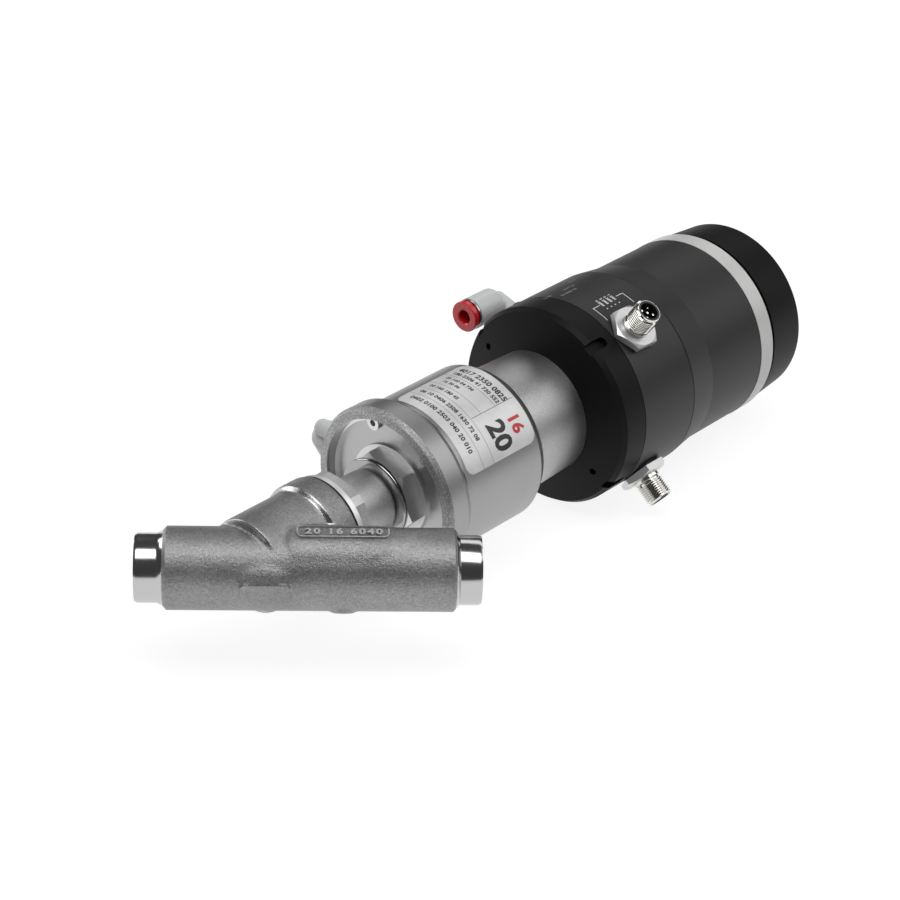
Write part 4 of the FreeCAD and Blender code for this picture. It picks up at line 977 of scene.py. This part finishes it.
def swept(name, points, turns=1, rise=0.0):
    """A closed profile of radius and height turned round Z, or along a helix."""
    mesh = bpy.data.meshes.new(name)
    corners = [(radius * MM, 0, height * MM) for radius, height in points]
    edges = [(number, (number + 1) % len(points)) for number in range(len(points))]
    mesh.from_pydata(corners, edges, [])
    piece = bpy.data.objects.new(name, mesh)
    bpy.context.scene.collection.objects.link(piece)
    only(piece)
    screw = piece.modifiers.new("turn", "SCREW")
    screw.steps = 64
    screw.render_steps = 64
    screw.iterations = turns
    screw.screw_offset = rise * MM
    screw.use_merge_vertices = True
    screw.merge_threshold = MERGE
    screw.use_normal_calculate = True
    bpy.ops.object.modifier_apply(modifier=screw.name)
    bpy.ops.object.mode_set(mode="EDIT")
    bpy.ops.mesh.select_all(action="SELECT")
    bpy.ops.mesh.remove_doubles(threshold=MERGE)
    bpy.ops.mesh.normals_make_consistent(inside=False)
    bpy.ops.object.mode_set(mode="OBJECT")
    return piece


SLEEVE = [
    (BORE, SHELL_ROOT), (BODY, SHELL_ROOT), (BODY, NUT_TOP + 0.4), (CREST, NUT_TOP + 0.4),
    (CREST, THREAD_START - 0.5), (ROOT, THREAD_START), (ROOT, SHELL_MOUTH - 0.4),
    (ROOT - 0.2, SHELL_MOUTH), (ROOT - 0.34, SHELL_MOUTH), (ROOT - 0.34, SHELL_MOUTH - 0.32),
    (BORE, SHELL_MOUTH - 0.32),
]
TOOTH = [(ROOT - SINK, 0), (CREST, 0.4), (CREST, 0.6), (ROOT - SINK, PITCH)]
PLUG_RIM = [
    (LINER, INSERT_FACE), (BORE - SINK, INSERT_FACE), (BORE - SINK, SHELL_MOUTH - 0.3),
    (ROOT - 0.35, SHELL_MOUTH - 0.3), (ROOT - 0.35, SHELL_MOUTH - SINK),
    (LINER, SHELL_MOUTH - SINK),
]


def threaded_shell(number, angle):
    """One connector shell with its thread and black rim, stood out from the case."""
    sleeve = swept("sleeve", SLEEVE)
    rim = swept(f"plug_rim_{number}", PLUG_RIM)
    tooth = [(radius, THREAD_START + height * 0.98) for radius, height in TOOTH]
    thread = swept("thread", tooth, TURNS, PITCH)
    shell = join(f"threaded_shell_{number}", [sleeve, thread])
    outward = stem_matrix(SHELL_PLACE, angle) @ Matrix.Rotation(math.radians(90), 4, "Y")
    for piece, material in ((shell, "nickel"), (rim, "insert_black")):
        piece.data.transform(outward)
        piece.data.update()
        only(piece)
        bpy.ops.object.shade_smooth_by_angle(angle=math.radians(25))
        piece.data.materials.append(bpy.data.materials[material])
        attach(piece, "base")
    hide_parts(f"connector_shell_{number}")
    print(shell.name, "has", len(shell.data.polygons), "faces")


threaded_shell(1, 123)
threaded_shell(2, 217)

# %% [markdown]
# ## The return spring
# One end of the return spring stands on the piston and the other against the end of the
# cylinder, so it shortens as the stem lifts. A rigid copy would run through the piston.
# Here the spring is a smoothed copy of the CAD spring, taken off its body, and the
# stations of its two ends along the stem are printed.

# %% Return spring
spring = joined_copy("actuator_spring", "return_spring")
bpy.ops.object.parent_clear(type="CLEAR_KEEP_TRANSFORM")
stations = [(corner.co - STEM_FOOT).dot(STEM) / MM for corner in spring.data.vertices]
only(spring)
bpy.ops.object.shade_smooth_by_angle(angle=math.radians(35))
on_stem(min(stations))
on_stem(max(stations))
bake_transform(spring)
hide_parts("actuator_spring")
print("spring from", round(min(stations), 1), "to", round(max(stations), 1))
